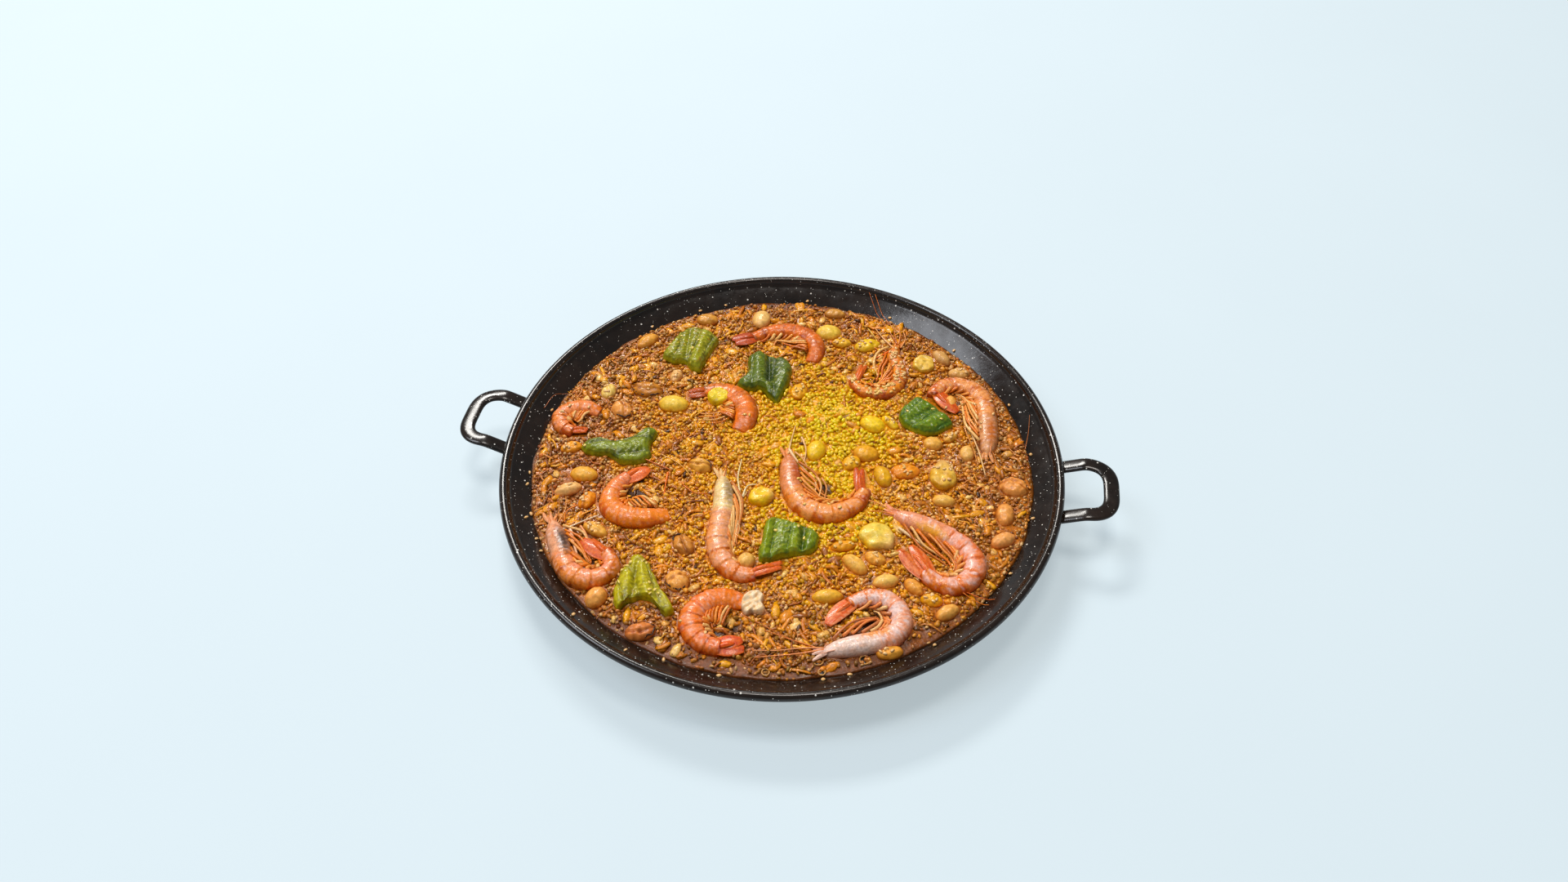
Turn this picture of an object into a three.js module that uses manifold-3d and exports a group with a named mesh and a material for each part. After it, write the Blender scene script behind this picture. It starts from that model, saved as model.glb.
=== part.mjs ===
// Seafood paella in its enamelled steel pan. Millimetres, +Z up.
// The origin is the centre of the pan's flat base, so the pan stands on z = 0.
// The line through the two handles is turned a little from X. Every topping rests on the rice.
import * as THREE from 'three';
import Module from 'manifold-3d';
import { mergeVertices } from 'three/addons/utils/BufferGeometryUtils.js';

// ---- driving dimensions -------------------------------------------------------------------
const SEGMENTS = 64; // round the pan and the edge of the rice
const RIM_RADIUS = 276; // to the outside of the rolled bead
const RIM_HEIGHT = 52; // top of the bead
const BEAD_RADIUS = 4.2;
const SHEET = 1.8;
const BASE_RADIUS = 208; // flat part of the base
const WALL_FOOT = [216, 3]; // inner face of the wall, as radius and height
const WALL_PULL = [236, 28]; // bends the wall outwards
const WALL_TOP = [268, 46.6];
const WALL_STEPS = 4;
const FOOT_OUTSIDE = [217.5, 1.4]; // where the rounded base meets the outside of the wall
const BEAD_ARC = [-112, 172]; // degrees of the bead that show
const BEAD_STEPS = 6;

const FIT = 0.35; // gap between two solids that touch
const FACET_GAP = 0.1; // more where a faceted edge meets a faceted wall
const FOOD_EDGE_Z = 34.5; // rice where it meets the wall
const FOOD_CROWN = 3; // how much higher the middle is
const FOOD_RADIUS = 248;
const RING_STEP = 8.8; // between the rings of bumps on the rice
const GRAIN_STEP = 10; // between bumps along a ring
const FEWEST_BUMPS = 6; // on the smallest ring
const GRAIN_BUMP = 3; // highest bump
const LOW_BUMPS = [0, 0.25]; // shares of the highest, turn about along a ring
const HIGH_BUMPS = [0.5, 1];
const BUMP_STRAY = 0.3; // how far a bump strays from its place, as a share of the step
const CLEAR_STEPS = 1.5; // rings of flat rice round a topping
const EDGE_SWELL = 1.6; // how unevenly the rice climbs the wall
const SEED = 7;

const HANDLE_TURN = -9.3; // degrees from X to the right handle
const HANDLE = {
  halfSpan: 32, // from the middle to the centre of a leg
  reach: 319, // from the pan's axis to the middle of the grip
  rootX: 244, // inside the wall, so that the wall's outside trims it
  rootZ: 29.5,
  gripZ: 51,
  corner: 24,
  halfWidth: 7.5,
  halfHeight: 2.8,
  steps: 14,
  curveSegments: 4,
};
const PAD = { width: 26, height: 15, depth: 4, lean: 53, radius: 252, z: 31.5 };

// ---- prawns: centre lines from the tail to the head, half width and height of the thickest
// place, and whether the head shows or is under the rice ------------------------------------
const PRAWNS = [
  { line: [[-198, 40], [-214, 41], [-226, 50], [-228, 62], [-219, 72], [-204, 75], [-189, 70]],
    wide: 9.5, high: 9.5, head: false },
  { line: [[-53, 175], [-38, 179], [-24, 187], [-8, 193], [10, 193], [26, 186], [36, 173],
    [37, 159], [32, 145]], wide: 10.5, high: 10.5, head: false },
  { line: [[-99, 94], [-86, 97], [-71, 98], [-57, 95], [-46, 87], [-39, 76], [-37, 63],
    [-39, 52], [-44, 42]], wide: 12.5, high: 10.5, head: false },
  { line: [[84, 139], [76, 123], [79, 106], [92, 96], [109, 96], [121, 107], [126, 123],
    [124, 140], [121, 154], [127, 171]], wide: 8.5, high: 7, head: true },
  { line: [[173, 66], [164, 76], [159, 89], [164, 101], [177, 108], [192, 106], [204, 97],
    [210, 83], [211, 66], [210, 46], [208, 26], [205, 8]], wide: 11, high: 10.5, head: true },
  { line: [[-133, -10], [-147, -19], [-159, -31], [-165, -46], [-164, -60], [-154, -70],
    [-140, -74], [-124, -73], [-108, -68]], wide: 11, high: 11, head: false },
  { line: [[1, -130], [-15, -136], [-31, -141], [-46, -136], [-56, -122], [-60, -104],
    [-59, -85], [-56, -65], [-56, -45], [-59, -22]], wide: 11, high: 10.9, head: true },
  { line: [[77, -12], [81, -27], [79, -43], [72, -57], [59, -66], [44, -70], [28, -66],
    [16, -54], [10, -38], [8, -20], [6, 6]], wide: 11, high: 10.5, head: true },
  { line: [[-184, -98], [-172, -107], [-161, -117], [-156, -130], [-163, -141], [-178, -145],
    [-192, -138], [-201, -125], [-206, -109], [-213, -92], [-218, -76]],
    wide: 10.5, high: 10.5, head: true },
  { line: [[112, -110], [120, -124], [131, -140], [144, -151], [160, -152], [172, -143],
    [177, -129], [172, -113], [159, -100], [143, -89], [125, -79], [105, -68]],
    wide: 11, high: 11, head: true },
  { line: [[-33, -217], [-50, -218], [-66, -214], [-77, -203], [-80, -189], [-74, -177],
    [-62, -169], [-47, -167], [-34, -170]], wide: 11.5, high: 11.5, head: false },
  { line: [[38, -193], [50, -182], [62, -171], [77, -165], [94, -168], [104, -181],
    [104, -197], [93, -208], [75, -213], [55, -217], [35, -222]], wide: 10, high: 10.5, head: true },
];
const PRAWN_ROUND = 6; // points over a section, the flat underside included
const PRAWN_RINGS = 6; // shell segments between tail and carapace
// share of the length, half width and height, both as shares of the thickest place
const TAIL_FORM = [[0, 0.34, 0.2], [0.05, 0.62, 0.4], [0.11, 0.5, 0.55]];
const BODY_FORM = [[0.13, 0.56, 0.62], [0.3, 0.8, 0.85], [0.5, 1, 1]];
const HEAD_FORM = [[0.7, 0.97, 1], [0.82, 0.98, 0.98], [0.91, 0.85, 0.85], [0.97, 0.55, 0.6],
  [1, 0.25, 0.3]];
const SUNK_FORM = [[0.78, 1, 0.98], [0.9, 0.96, 0.8], [1, 0.74, 0.42]];
const SHELL_FORM = [[0.04, 1.05], [0.92, 0.95]]; // a segment is widest where it overlaps the next one

// ---- pieces of green pepper: outline, height, direction of the ribs, rib spacing -----------
const PEPPERS = [
  { outline: [[-95, 197], [-110, 192], [-119, 176], [-129, 151], [-118, 144], [-104, 141],
    [-97, 131], [-88, 129], [-82, 146], [-74, 165], [-70, 180], [-80, 190]],
    high: 11, ribs: 78, pitch: 17, color: 0x93a637 },
  { outline: [[-27, 155], [-36, 149], [-37, 122], [-47, 106], [-38, 98], [-22, 99], [-13, 88],
    [-6, 81], [2, 94], [8, 112], [10, 134], [3, 146], [-10, 148]],
    high: 11, ribs: 88, pitch: 24, color: 0x3f6a2c },
  { outline: [[-202, 18], [-192, 27], [-175, 24], [-160, 26], [-146, 32], [-132, 43],
    [-127, 37], [-132, 20], [-131, 4], [-143, -5], [-160, -3], [-173, 6], [-190, 8]],
    high: 10, ribs: 8, pitch: 18, color: 0x4d7235 },
  { outline: [[120, 59], [129, 76], [141, 87], [151, 80], [163, 67], [175, 50], [162, 39],
    [145, 35], [129, 44]], high: 9.5, ribs: 38, pitch: 19, color: 0x4c7f2a },
  { outline: [[-20, -126], [-19, -100], [-12, -77], [5, -80], [20, -86], [34, -96],
    [31, -113], [18, -118], [0, -121]], high: 10.5, ribs: 82, pitch: 14, color: 0x5a7d24 },
  { outline: [[-136, -119], [-127, -121], [-117, -139], [-109, -157], [-96, -179],
    [-101, -184], [-115, -171], [-126, -167], [-138, -170], [-146, -178], [-151, -166],
    [-150, -148], [-143, -131]], high: 10.5, ribs: -72, pitch: 15, color: 0x97a51f },
];

// ---- beans and the like: centre, length, width, heading in degrees, height ----------------
const BEANS = [
  [-148, 180, 27, 17, 40, 7, 0xdd9a4c], [-84, 216, 25, 18, -10, 6, 0xd9a866],
  [-23, 216, 30, 20, 85, 7.5, 0xe8c48a], [-113, 80, 34, 21, -10, 8, 0xe3b23a],
  [52, 193, 28, 23, -20, 8, 0xe2b04a], [173, 152, 27, 15, -55, 7, 0xd69a56],
  [176, 82, 21, 13, 85, 6.5, 0xdca25a], [93, 50, 29, 20, -30, 7, 0xe3ae2c],
  [152, 23, 21, 17, -20, 7.5, 0xd99c50], [185, 10, 20, 15, 80, 7, 0xdb9f52],
  [34, 13, 27, 20, 85, 7.5, 0xf0c010], [84, 9, 28, 20, -20, 7, 0xe5a01c],
  [99, -21, 27, 18, -70, 7, 0xe3a430], [156, -52, 23, 14, 0, 6.5, 0xd99a42],
  [213, -68, 27, 18, 75, 7, 0xdd8a36], [207, -99, 25, 16, 25, 7, 0xdc9c58],
  [67, -128, 27, 16, -45, 7.5, 0xdf9f4e], [94, -147, 25, 14, 15, 7, 0xe0a64a],
  [41, -164, 28, 15, 5, 8, 0xe3ad3c], [119, -153, 22, 13, -45, 6.5, 0xdb9440],
  [147, -180, 25, 13, 30, 7, 0xdf9a46], [-195, -17, 27, 19, -10, 7.5, 0xe09a3a],
  [-208, -36, 26, 15, 15, 6.5, 0xdb9d5c], [-33, -125, 19, 17, 20, 8.5, 0xdda05a],
  [-167, -164, 22, 20, 70, 9, 0xd9974e], [60, 226, 24, 15, 0, 5.5, 0xdcab5e],
];
const MUSSELS = [
  [-142, 102, 36, 20, -10, 7, 0xc9853f], [-166, 72, 27, 20, -60, 7.5, 0xcf9657],
  [-81, -7, 25, 18, -30, 7, 0xd9993c], [-92, -105, 27, 17, -50, 7, 0xc98a45],
  [-95, -146, 24, 22, 0, 7.5, 0xdd9440], [-124, -200, 27, 18, 15, 7.5, 0xcf7c34],
  [226, -33, 30, 22, -15, 7.5, 0xdb8a3a],
];
const SLICES = [
  [-66, 87, 23, 20, 0, 9.5, 0xeec02c], [153, 141, 25, 23, 0, 7, 0xe6bb4a],
];
const CHUNKS = [
  [90, -97, 36, 30, -40, 9, 0xf0c545], [158, -20, 38, 27, 80, 8, 0xe4c05c],
  [-20, -48, 25, 22, 10, 8, 0xe8b524],
];
// smaller or half-covered pieces, fused to the rice as mounds: x, y, length, width, heading, height
const HALF_COVERED = [
  [-113, 123, 20, 13, 80, 5], [-183, 100, 24, 15, 80, 5.5], [66, 176, 22, 14, 0, 5],
  [134, -167, 22, 13, -10, 5], [-188, -50, 22, 16, 60, 5.5], [111, 53, 23, 12, -55, 5],
  [122, -14, 27, 20, 0, 5], [18, 99, 24, 17, 80, 5], [-212, 20, 22, 15, 20, 5],
  [-176, -86, 26, 15, -30, 5.5], [94, 172, 28, 20, 20, 5.5], [190, 128, 24, 16, 10, 5],
  [57, -107, 24, 12, 5, 5], [-25, -172, 24, 12, 75, 7], [171, 33, 18, 12, 40, 4.5],
  [93, -221, 25, 13, 12, 5.5], [69, -3, 20, 17, 60, 5], [86, -121, 20, 15, -20, 5],
];
// share of the outline and share of the height, from the underside to the top
const BEAN_FORM = [[1, 0], [0.99, 0.42], [0.74, 0.86]];
const SLAB_FORM = [[1, 0], [0.98, 0.72], [0.84, 1]];
const PEPPER_FORM = [[1, 0], [0.97, 0.62], [0.8, 0.96], [0.42, 1]];
const OVAL_POINTS = 9;
const PEPPER_POINTS = 17;
const RIB_DEPTH = 0.1;
const EDGE_WAVE = 0.05; // unevenness of a bean's outline
// how many gaps a grown form gains in width and in height, and how many it drops
const GROWN_SPREAD = 2;
const GROWN_RISE = 5;
const GROWN_DROP = 3;

const ENAMEL = new THREE.Color(0x1d1a18);
const RICE_COLOR = new THREE.Color(0xd09030);
const PRAWN_COLOR = new THREE.Color(0xe0703c);
const ENAMEL_ROUGHNESS = 0.25;
const RICE_ROUGHNESS = 0.5;
const TOPPING_ROUGHNESS = 0.45;

const wasm = await Module();
wasm.setup();

// ---- helpers ------------------------------------------------------------------------------
const radians = (degrees) => (degrees * Math.PI) / 180;

function seeded(seed) {
  let state = seed;
  return () => {
    state = (state + 0x6d2b79f5) | 0;
    let t = Math.imul(state ^ (state >>> 15), 1 | state);
    t = (t + Math.imul(t ^ (t >>> 7), 61 | t)) ^ t;
    return ((t ^ (t >>> 14)) >>> 0) / 4294967296;
  };
}

const foodZ = (x, y) => FOOD_EDGE_Z + FOOD_CROWN * (1 - (x * x + y * y) / FOOD_RADIUS ** 2);

function along(table, at, column) {
  let k = 1;
  while (k < table.length - 1 && table[k][0] < at) k += 1;
  const [a, b] = [table[k - 1], table[k]];
  const share = THREE.MathUtils.clamp((at - a[0]) / (b[0] - a[0]), 0, 1);
  return a[column] + (b[column] - a[column]) * share;
}

function indexed(points, triangles) {
  const geometry = new THREE.BufferGeometry();
  geometry.setAttribute('position', new THREE.Float32BufferAttribute(points.flat(), 3));
  geometry.setIndex(triangles.flat());
  return geometry;
}

// closed skin over rings of equally many points, with a fan over the first and the last ring
function loft(rings, firstCentre, lastCentre) {
  const count = rings[0].length;
  const points = [...rings.flat(), firstCentre, lastCentre];
  const [first, last] = [points.length - 2, points.length - 1];
  const triangles = [];
  for (let k = 0; k < count; k += 1) {
    const next = (k + 1) % count;
    triangles.push([first, next, k]);
    triangles.push([last, (rings.length - 1) * count + k, (rings.length - 1) * count + next]);
    for (let r = 0; r < rings.length - 1; r += 1) {
      const [low, high] = [r * count, (r + 1) * count];
      triangles.push([low + k, low + next, high + next], [low + k, high + next, high + k]);
    }
  }
  return indexed(points, triangles);
}

const middle = (ring) => [0, 1, 2].map((c) => ring.reduce((sum, p) => sum + p[c], 0) / ring.length);

function solidOf(geometry) {
  const plain = geometry.clone();
  plain.deleteAttribute('normal');
  plain.deleteAttribute('uv');
  const merged = mergeVertices(plain);
  const vertProperties = new Float32Array(merged.attributes.position.array);
  const triVerts = new Uint32Array(merged.index.array);
  return new wasm.Manifold(new wasm.Mesh({ numProp: 3, vertProperties, triVerts }));
}

function geometryOf(solid) {
  const mesh = solid.getMesh();
  const geometry = new THREE.BufferGeometry();
  geometry.setAttribute('position', new THREE.Float32BufferAttribute(mesh.vertProperties, 3));
  geometry.setIndex([...mesh.triVerts]);
  return geometry;
}

function named(name, geometry, color, roughness) {
  const material = new THREE.MeshStandardMaterial({ color, roughness, metalness: 0 });
  const mesh = new THREE.Mesh(geometry, material);
  mesh.name = name;
  return mesh;
}

// ---- pan ----------------------------------------------------------------------------------
// inner face of the wall, from the floor up, as [radius, height]
function wallLine() {
  const curve = new THREE.QuadraticBezierCurve(
    new THREE.Vector2(...WALL_FOOT), new THREE.Vector2(...WALL_PULL), new THREE.Vector2(...WALL_TOP));
  return curve.getPoints(WALL_STEPS).map((p) => [p.x, p.y]);
}

// outer face of the wall and the bead's outside, grown by a clearance
function outerWallLine(clearance) {
  const line = wallLine();
  return line.map(([r, z], k) => {
    const [a, b] = [line[Math.max(k - 1, 0)], line[Math.min(k + 1, line.length - 1)]];
    const offset = (SHEET + clearance) / Math.hypot(b[0] - a[0], b[1] - a[1]);
    return [r + offset * (b[1] - a[1]), z - offset * (b[0] - a[0])];
  });
}

function beadLine(clearance) {
  const [from, to] = BEAD_ARC;
  return Array.from({ length: BEAD_STEPS + 1 }, (_, k) => {
    const angle = radians(from + ((to - from) * k) / BEAD_STEPS);
    const radius = BEAD_RADIUS + clearance;
    return [RIM_RADIUS - BEAD_RADIUS + radius * Math.cos(angle),
      RIM_HEIGHT - BEAD_RADIUS + radius * Math.sin(angle)];
  });
}

const outside = (clearance) => [...outerWallLine(clearance).slice(1, -1), ...beadLine(clearance)];

function turned(line) {
  const profile = line.map(([r, z]) => new THREE.Vector2(r, z));
  return new THREE.LatheGeometry(profile, SEGMENTS).rotateX(Math.PI / 2);
}

function panGeometry() {
  const inside = wallLine().reverse().slice(1);
  return turned([
    [0, 0], [BASE_RADIUS, 0], FOOT_OUTSIDE, ...outside(0), ...inside, [BASE_RADIUS, SHEET], [0, SHEET],
  ]);
}

// ---- handles ------------------------------------------------------------------------------
function handlePath() {
  const { halfSpan, reach, rootX, rootZ, gripZ, corner } = HANDLE;
  const path = new THREE.CurvePath();
  const root = (side) => new THREE.Vector3(rootX, side * halfSpan, rootZ);
  const turn = (side) => new THREE.Vector3(reach - corner, side * halfSpan, gripZ);
  const knee = (side) => new THREE.Vector3(reach, side * halfSpan, gripZ);
  const grip = (side) => new THREE.Vector3(reach, side * (halfSpan - corner), gripZ);
  path.add(new THREE.LineCurve3(root(-1), turn(-1)));
  path.add(new THREE.QuadraticBezierCurve3(turn(-1), knee(-1), grip(-1)));
  path.add(new THREE.LineCurve3(grip(-1), grip(1)));
  path.add(new THREE.QuadraticBezierCurve3(grip(1), knee(1), turn(1)));
  path.add(new THREE.LineCurve3(turn(1), root(1)));
  return path;
}

function padGeometry(side) {
  return new THREE.BoxGeometry(PAD.depth, PAD.width, PAD.height)
    .rotateY(radians(PAD.lean))
    .translate(PAD.radius, 0, PAD.z)
    .rotateZ(side * Math.asin(HANDLE.halfSpan / PAD.radius));
}

// the bar and its two pads in one piece, cut clear of the pan's outside
function handleGeometry(turn) {
  const section = new THREE.Shape();
  section.absellipse(0, 0, HANDLE.halfWidth, HANDLE.halfHeight, 0, 2 * Math.PI, false, 0);
  const bar = new THREE.ExtrudeGeometry(section, {
    steps: HANDLE.steps,
    curveSegments: HANDLE.curveSegments,
    extrudePath: handlePath(),
    bevelEnabled: false,
  });
  const pieces = [bar, padGeometry(-1), padGeometry(1)].map((piece) => piece.rotateZ(radians(turn)));
  const whole = pieces.map(solidOf).reduce((joined, piece) => joined.add(piece));
  const clear = turned([
    [0, -RIM_HEIGHT], [WALL_FOOT[0], -RIM_HEIGHT], ...outside(FIT), [0, 2 * RIM_HEIGHT],
  ]);
  return geometryOf(whole.subtract(solidOf(clear)));
}

// ---- toppings -----------------------------------------------------------------------------
const onFood = (x, y, up) => [x, y, foodZ(x, y) + FIT + up];

// a grown form clears its neighbours all round: it is wider and higher and starts lower
const raised = (up, high, grow) => up * (high + GROWN_RISE * grow) - GROWN_DROP * grow;

// a heap over a closed outline: its rings shrink towards the middle as they rise
function mound({ outline, high, form, lift, grow = 0 }) {
  const centre = [0, 1].map((c) => outline.reduce((sum, p) => sum + p[c], 0) / outline.length);
  const rings = form.map(([share, up]) => outline.map(([x, y]) => {
    const scale = share * (1 + (GROWN_SPREAD * grow) / Math.hypot(x - centre[0], y - centre[1]));
    const px = centre[0] + (x - centre[0]) * scale;
    const py = centre[1] + (y - centre[1]) * scale;
    return onFood(px, py, raised(up * lift(px, py), high, grow));
  }));
  const top = onFood(...centre, raised(lift(...centre), high, grow));
  return loft(rings, onFood(...centre, raised(0, high, grow)), top);
}

function turnsLeft(line) {
  return line.reduce((sum, [x, y], k) => {
    const [nx, ny] = line[(k + 1) % line.length];
    return sum + x * ny - nx * y;
  }, 0) > 0;
}

function smoothOutline(points) {
  const curve = new THREE.CatmullRomCurve3(
    points.map(([x, y]) => new THREE.Vector3(x, y, 0)), true, 'centripetal');
  const line = curve.getSpacedPoints(PEPPER_POINTS).slice(0, PEPPER_POINTS).map((p) => [p.x, p.y]);
  return turnsLeft(line) ? line : line.reverse();
}

function oval([x, y, length, width, heading]) {
  const [c, s] = [Math.cos(radians(heading)), Math.sin(radians(heading))];
  return Array.from({ length: OVAL_POINTS }, (_, k) => {
    const angle = (k / OVAL_POINTS) * 2 * Math.PI;
    const uneven = 1 + EDGE_WAVE * Math.sin(2 * angle + x + y);
    const [u, v] = [(length / 2) * Math.cos(angle) * uneven, (width / 2) * Math.sin(angle) * uneven];
    return [x + u * c - v * s, y + u * s + v * c];
  });
}

function ribLift(ribs, pitch) {
  const [c, s] = [Math.cos(radians(ribs)), Math.sin(radians(ribs))];
  return (x, y) => 1 - RIB_DEPTH + RIB_DEPTH * Math.cos((2 * Math.PI * (y * c - x * s)) / pitch);
}

// stations along a prawn, from the tail's tip to the head, as [share, half width, height]
function prawnStations(head) {
  const front = head ? HEAD_FORM : SUNK_FORM;
  const form = [...BODY_FORM, ...front];
  const [from, to] = [BODY_FORM[0][0], front[0][0]];
  const shells = [];
  for (let k = 0; k < PRAWN_RINGS; k += 1) {
    SHELL_FORM.forEach(([share, step]) => {
      const at = from + ((to - from) * (k + share)) / PRAWN_RINGS;
      shells.push([at, along(form, at, 1) * step, along(form, at, 2) * step]);
    });
  }
  return [...TAIL_FORM, ...shells, ...front];
}

const prawnCurve = ({ line }) => new THREE.CatmullRomCurve3(
  line.map(([x, y]) => new THREE.Vector3(x, y, 0)), false, 'centripetal');

// a section is an arch on a flat underside, from the prawn's left to its right
function prawnGeometry(prawn, grow = 0) {
  const curve = prawnCurve(prawn);
  const rings = prawnStations(prawn.head).map(([at, w, h]) => {
    const [p, t] = [curve.getPointAt(at), curve.getTangentAt(at)];
    return Array.from({ length: PRAWN_ROUND }, (_, k) => {
      const angle = (Math.PI * k) / (PRAWN_ROUND - 1);
      const side = (w * prawn.wide + GROWN_SPREAD * grow) * Math.cos(angle);
      return onFood(p.x - t.y * side, p.y + t.x * side, raised(Math.sin(angle), h * prawn.high, grow));
    });
  });
  return loft(rings, middle(rings[0]), middle(rings[rings.length - 1]));
}

function prawnOutline(prawn) {
  const curve = prawnCurve(prawn);
  const edge = (side) => prawnStations(prawn.head).map(([at, w]) => {
    const [p, t] = [curve.getPointAt(at), curve.getTangentAt(at)];
    return [p.x - t.y * side * w * prawn.wide, p.y + t.x * side * w * prawn.wide];
  });
  return [...edge(1), ...edge(-1).reverse()];
}

function prawnTopping(prawn, k) {
  const make = (grow) => prawnGeometry(prawn, grow);
  return { name: `prawn_${k + 1}`, make, outline: prawnOutline(prawn), color: PRAWN_COLOR };
}

function pepperTopping({ outline, high, ribs, pitch, color }, k) {
  const edge = smoothOutline(outline);
  const lift = ribLift(ribs, pitch);
  const make = (grow) => mound({ outline: edge, high, form: PEPPER_FORM, lift, grow });
  return { name: `pepper_${k + 1}`, make, outline: edge, color };
}

function ovalToppings(kind, rows, form) {
  return rows.map((row, k) => {
    const [outline, high, color] = [oval(row), row[5], row[6]];
    const make = (grow) => mound({ outline, high, form, lift: () => 1, grow });
    return { name: `${kind}_${k + 1}`, make, outline, color };
  });
}

// the toppings in the order in which they give way: a later one is cut clear of an earlier one
function placedToppings() {
  const all = [
    ...PRAWNS.map(prawnTopping),
    ...PEPPERS.map(pepperTopping),
    ...ovalToppings('slice', SLICES, SLAB_FORM),
    ...ovalToppings('mussel', MUSSELS, BEAN_FORM),
    ...ovalToppings('chunk', CHUNKS, BEAN_FORM),
    ...ovalToppings('bean', BEANS, BEAN_FORM),
  ];
  const grown = [];
  return all.map((topping) => {
    let solid = solidOf(topping.make(0));
    const cuts = grown.filter((other) => solid.intersect(other).volume() > 0);
    cuts.forEach((other) => { solid = solid.subtract(other); });
    grown.push(solidOf(topping.make(FIT)));
    return { ...topping, geometry: cuts.length ? geometryOf(solid) : topping.make(0) };
  });
}

// ---- rice ---------------------------------------------------------------------------------
function distanceToOutline(x, y, outline) {
  let [best, inside] = [Infinity, false];
  outline.forEach(([ax, ay], k) => {
    const [bx, by] = outline[(k + 1) % outline.length];
    const share = THREE.MathUtils.clamp(
      ((x - ax) * (bx - ax) + (y - ay) * (by - ay)) / ((bx - ax) ** 2 + (by - ay) ** 2), 0, 1);
    best = Math.min(best, Math.hypot(x - ax - share * (bx - ax), y - ay - share * (by - ay)));
    if (ay > y !== by > y && x < ((bx - ax) * (y - ay)) / (by - ay) + ax) inside = !inside;
  });
  return inside ? -best : best;
}

function wallRadiusAt(z) {
  const line = wallLine().map(([r, h]) => [h, r]);
  return along(line, z, 1) - FIT - FACET_GAP;
}

const nearest = (x, y, outlines) => Math.min(...outlines.map((line) => distanceToOutline(x, y, line)));

function riceEdge(outlines, random) {
  return Array.from({ length: SEGMENTS }, (_, k) => {
    const angle = (2 * Math.PI * k) / SEGMENTS;
    const [x, y] = [FOOD_RADIUS * Math.cos(angle), FOOD_RADIUS * Math.sin(angle)];
    const free = nearest(x, y, outlines) > (2 * Math.PI * FOOD_RADIUS) / SEGMENTS;
    const z = FOOD_EDGE_Z + (free ? EDGE_SWELL : -EDGE_SWELL / 2) * random();
    const r = wallRadiusAt(z);
    return [r * Math.cos(angle), r * Math.sin(angle), z];
  });
}

// rings of bumps; a bump whose neighbours lie under a topping stays down
function riceRings(outlines, random) {
  const rings = [];
  for (let r = FOOD_RADIUS - RING_STEP; r > RING_STEP / 2; r -= RING_STEP) {
    const count = Math.max(FEWEST_BUMPS, Math.round((2 * Math.PI * r) / GRAIN_STEP));
    const turn = random();
    rings.push(Array.from({ length: count }, (_, k) => {
      const angle = (2 * Math.PI * (k + turn + BUMP_STRAY * (random() - 0.5))) / count;
      const radius = r + BUMP_STRAY * RING_STEP * (random() - 0.5);
      const [x, y] = [radius * Math.cos(angle), radius * Math.sin(angle)];
      const free = nearest(x, y, outlines) > CLEAR_STEPS * RING_STEP;
      const [least, most] = k % 2 ? LOW_BUMPS : HIGH_BUMPS;
      const bump = free ? GRAIN_BUMP * THREE.MathUtils.lerp(least, most, random()) + coveredZ(x, y) : 0;
      return [x, y, foodZ(x, y) + bump];
    }));
  }
  return rings;
}

function coveredZ(x, y) {
  return Math.max(0, ...HALF_COVERED.map(([cx, cy, length, width, heading, high]) => {
    const [c, s] = [Math.cos(radians(heading)), Math.sin(radians(heading))];
    const u = ((x - cx) * c + (y - cy) * s) / (length / 2);
    const v = ((y - cy) * c - (x - cx) * s) / (width / 2);
    return high * (1 - u * u - v * v);
  }));
}

const angleOf = ([x, y]) => (Math.atan2(y, x) + 2 * Math.PI) % (2 * Math.PI);

// triangles between two rings with different numbers of points, outer ring first
function zip(outer, inner, outerStart, innerStart) {
  const sorted = (ring) => ring.map((p, k) => [angleOf(p), k]).sort((a, b) => a[0] - b[0]);
  const [a, b] = [sorted(outer), sorted(inner)];
  const at = (list, k) => list[k % list.length][0] + 2 * Math.PI * Math.floor(k / list.length);
  const triangles = [];
  let [i, j] = [0, 0];
  while (i < a.length || j < b.length) {
    const [pa, pb] = [a[i % a.length][1] + outerStart, b[j % b.length][1] + innerStart];
    if (j >= b.length || (i < a.length && at(a, i + 1) <= at(b, j + 1))) {
      triangles.push([pa, a[(i + 1) % a.length][1] + outerStart, pb]);
      i += 1;
    } else {
      triangles.push([pa, b[(j + 1) % b.length][1] + innerStart, pb]);
      j += 1;
    }
  }
  return triangles;
}

function riceGeometry(outlines) {
  const random = seeded(SEED);
  const sides = wallLine().filter(([, z]) => z < FOOD_EDGE_Z - EDGE_SWELL).map(([, z]) => z);
  const floor = SHEET + FIT;
  const circle = (r, z) => Array.from({ length: SEGMENTS }, (_, k) => {
    const angle = (2 * Math.PI * k) / SEGMENTS;
    return [r * Math.cos(angle), r * Math.sin(angle), z];
  });
  const walls = [circle(BASE_RADIUS, floor), ...sides.map((z) => circle(wallRadiusAt(z), z + FIT / 2))];
  const rings = [...walls, riceEdge(outlines, random), ...riceRings(outlines, random)];
  const points = [[0, 0, floor]];
  const triangles = [];
  let previous = null;
  rings.forEach((ring) => {
    const start = points.length;
    points.push(...ring);
    if (previous) triangles.push(...zip(previous.ring, ring, previous.start, start));
    else ring.forEach((_, k) => triangles.push([0, start + ((k + 1) % ring.length), start + k]));
    previous = { ring, start };
  });
  points.push([0, 0, foodZ(0, 0)]);
  const { ring, start } = previous;
  const order = ring.map((p, k) => [angleOf(p), start + k]).sort((a, b) => a[0] - b[0]);
  order.forEach(([, k], n) => triangles.push([points.length - 1, k, order[(n + 1) % order.length][1]]));
  return indexed(points, triangles);
}

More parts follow.
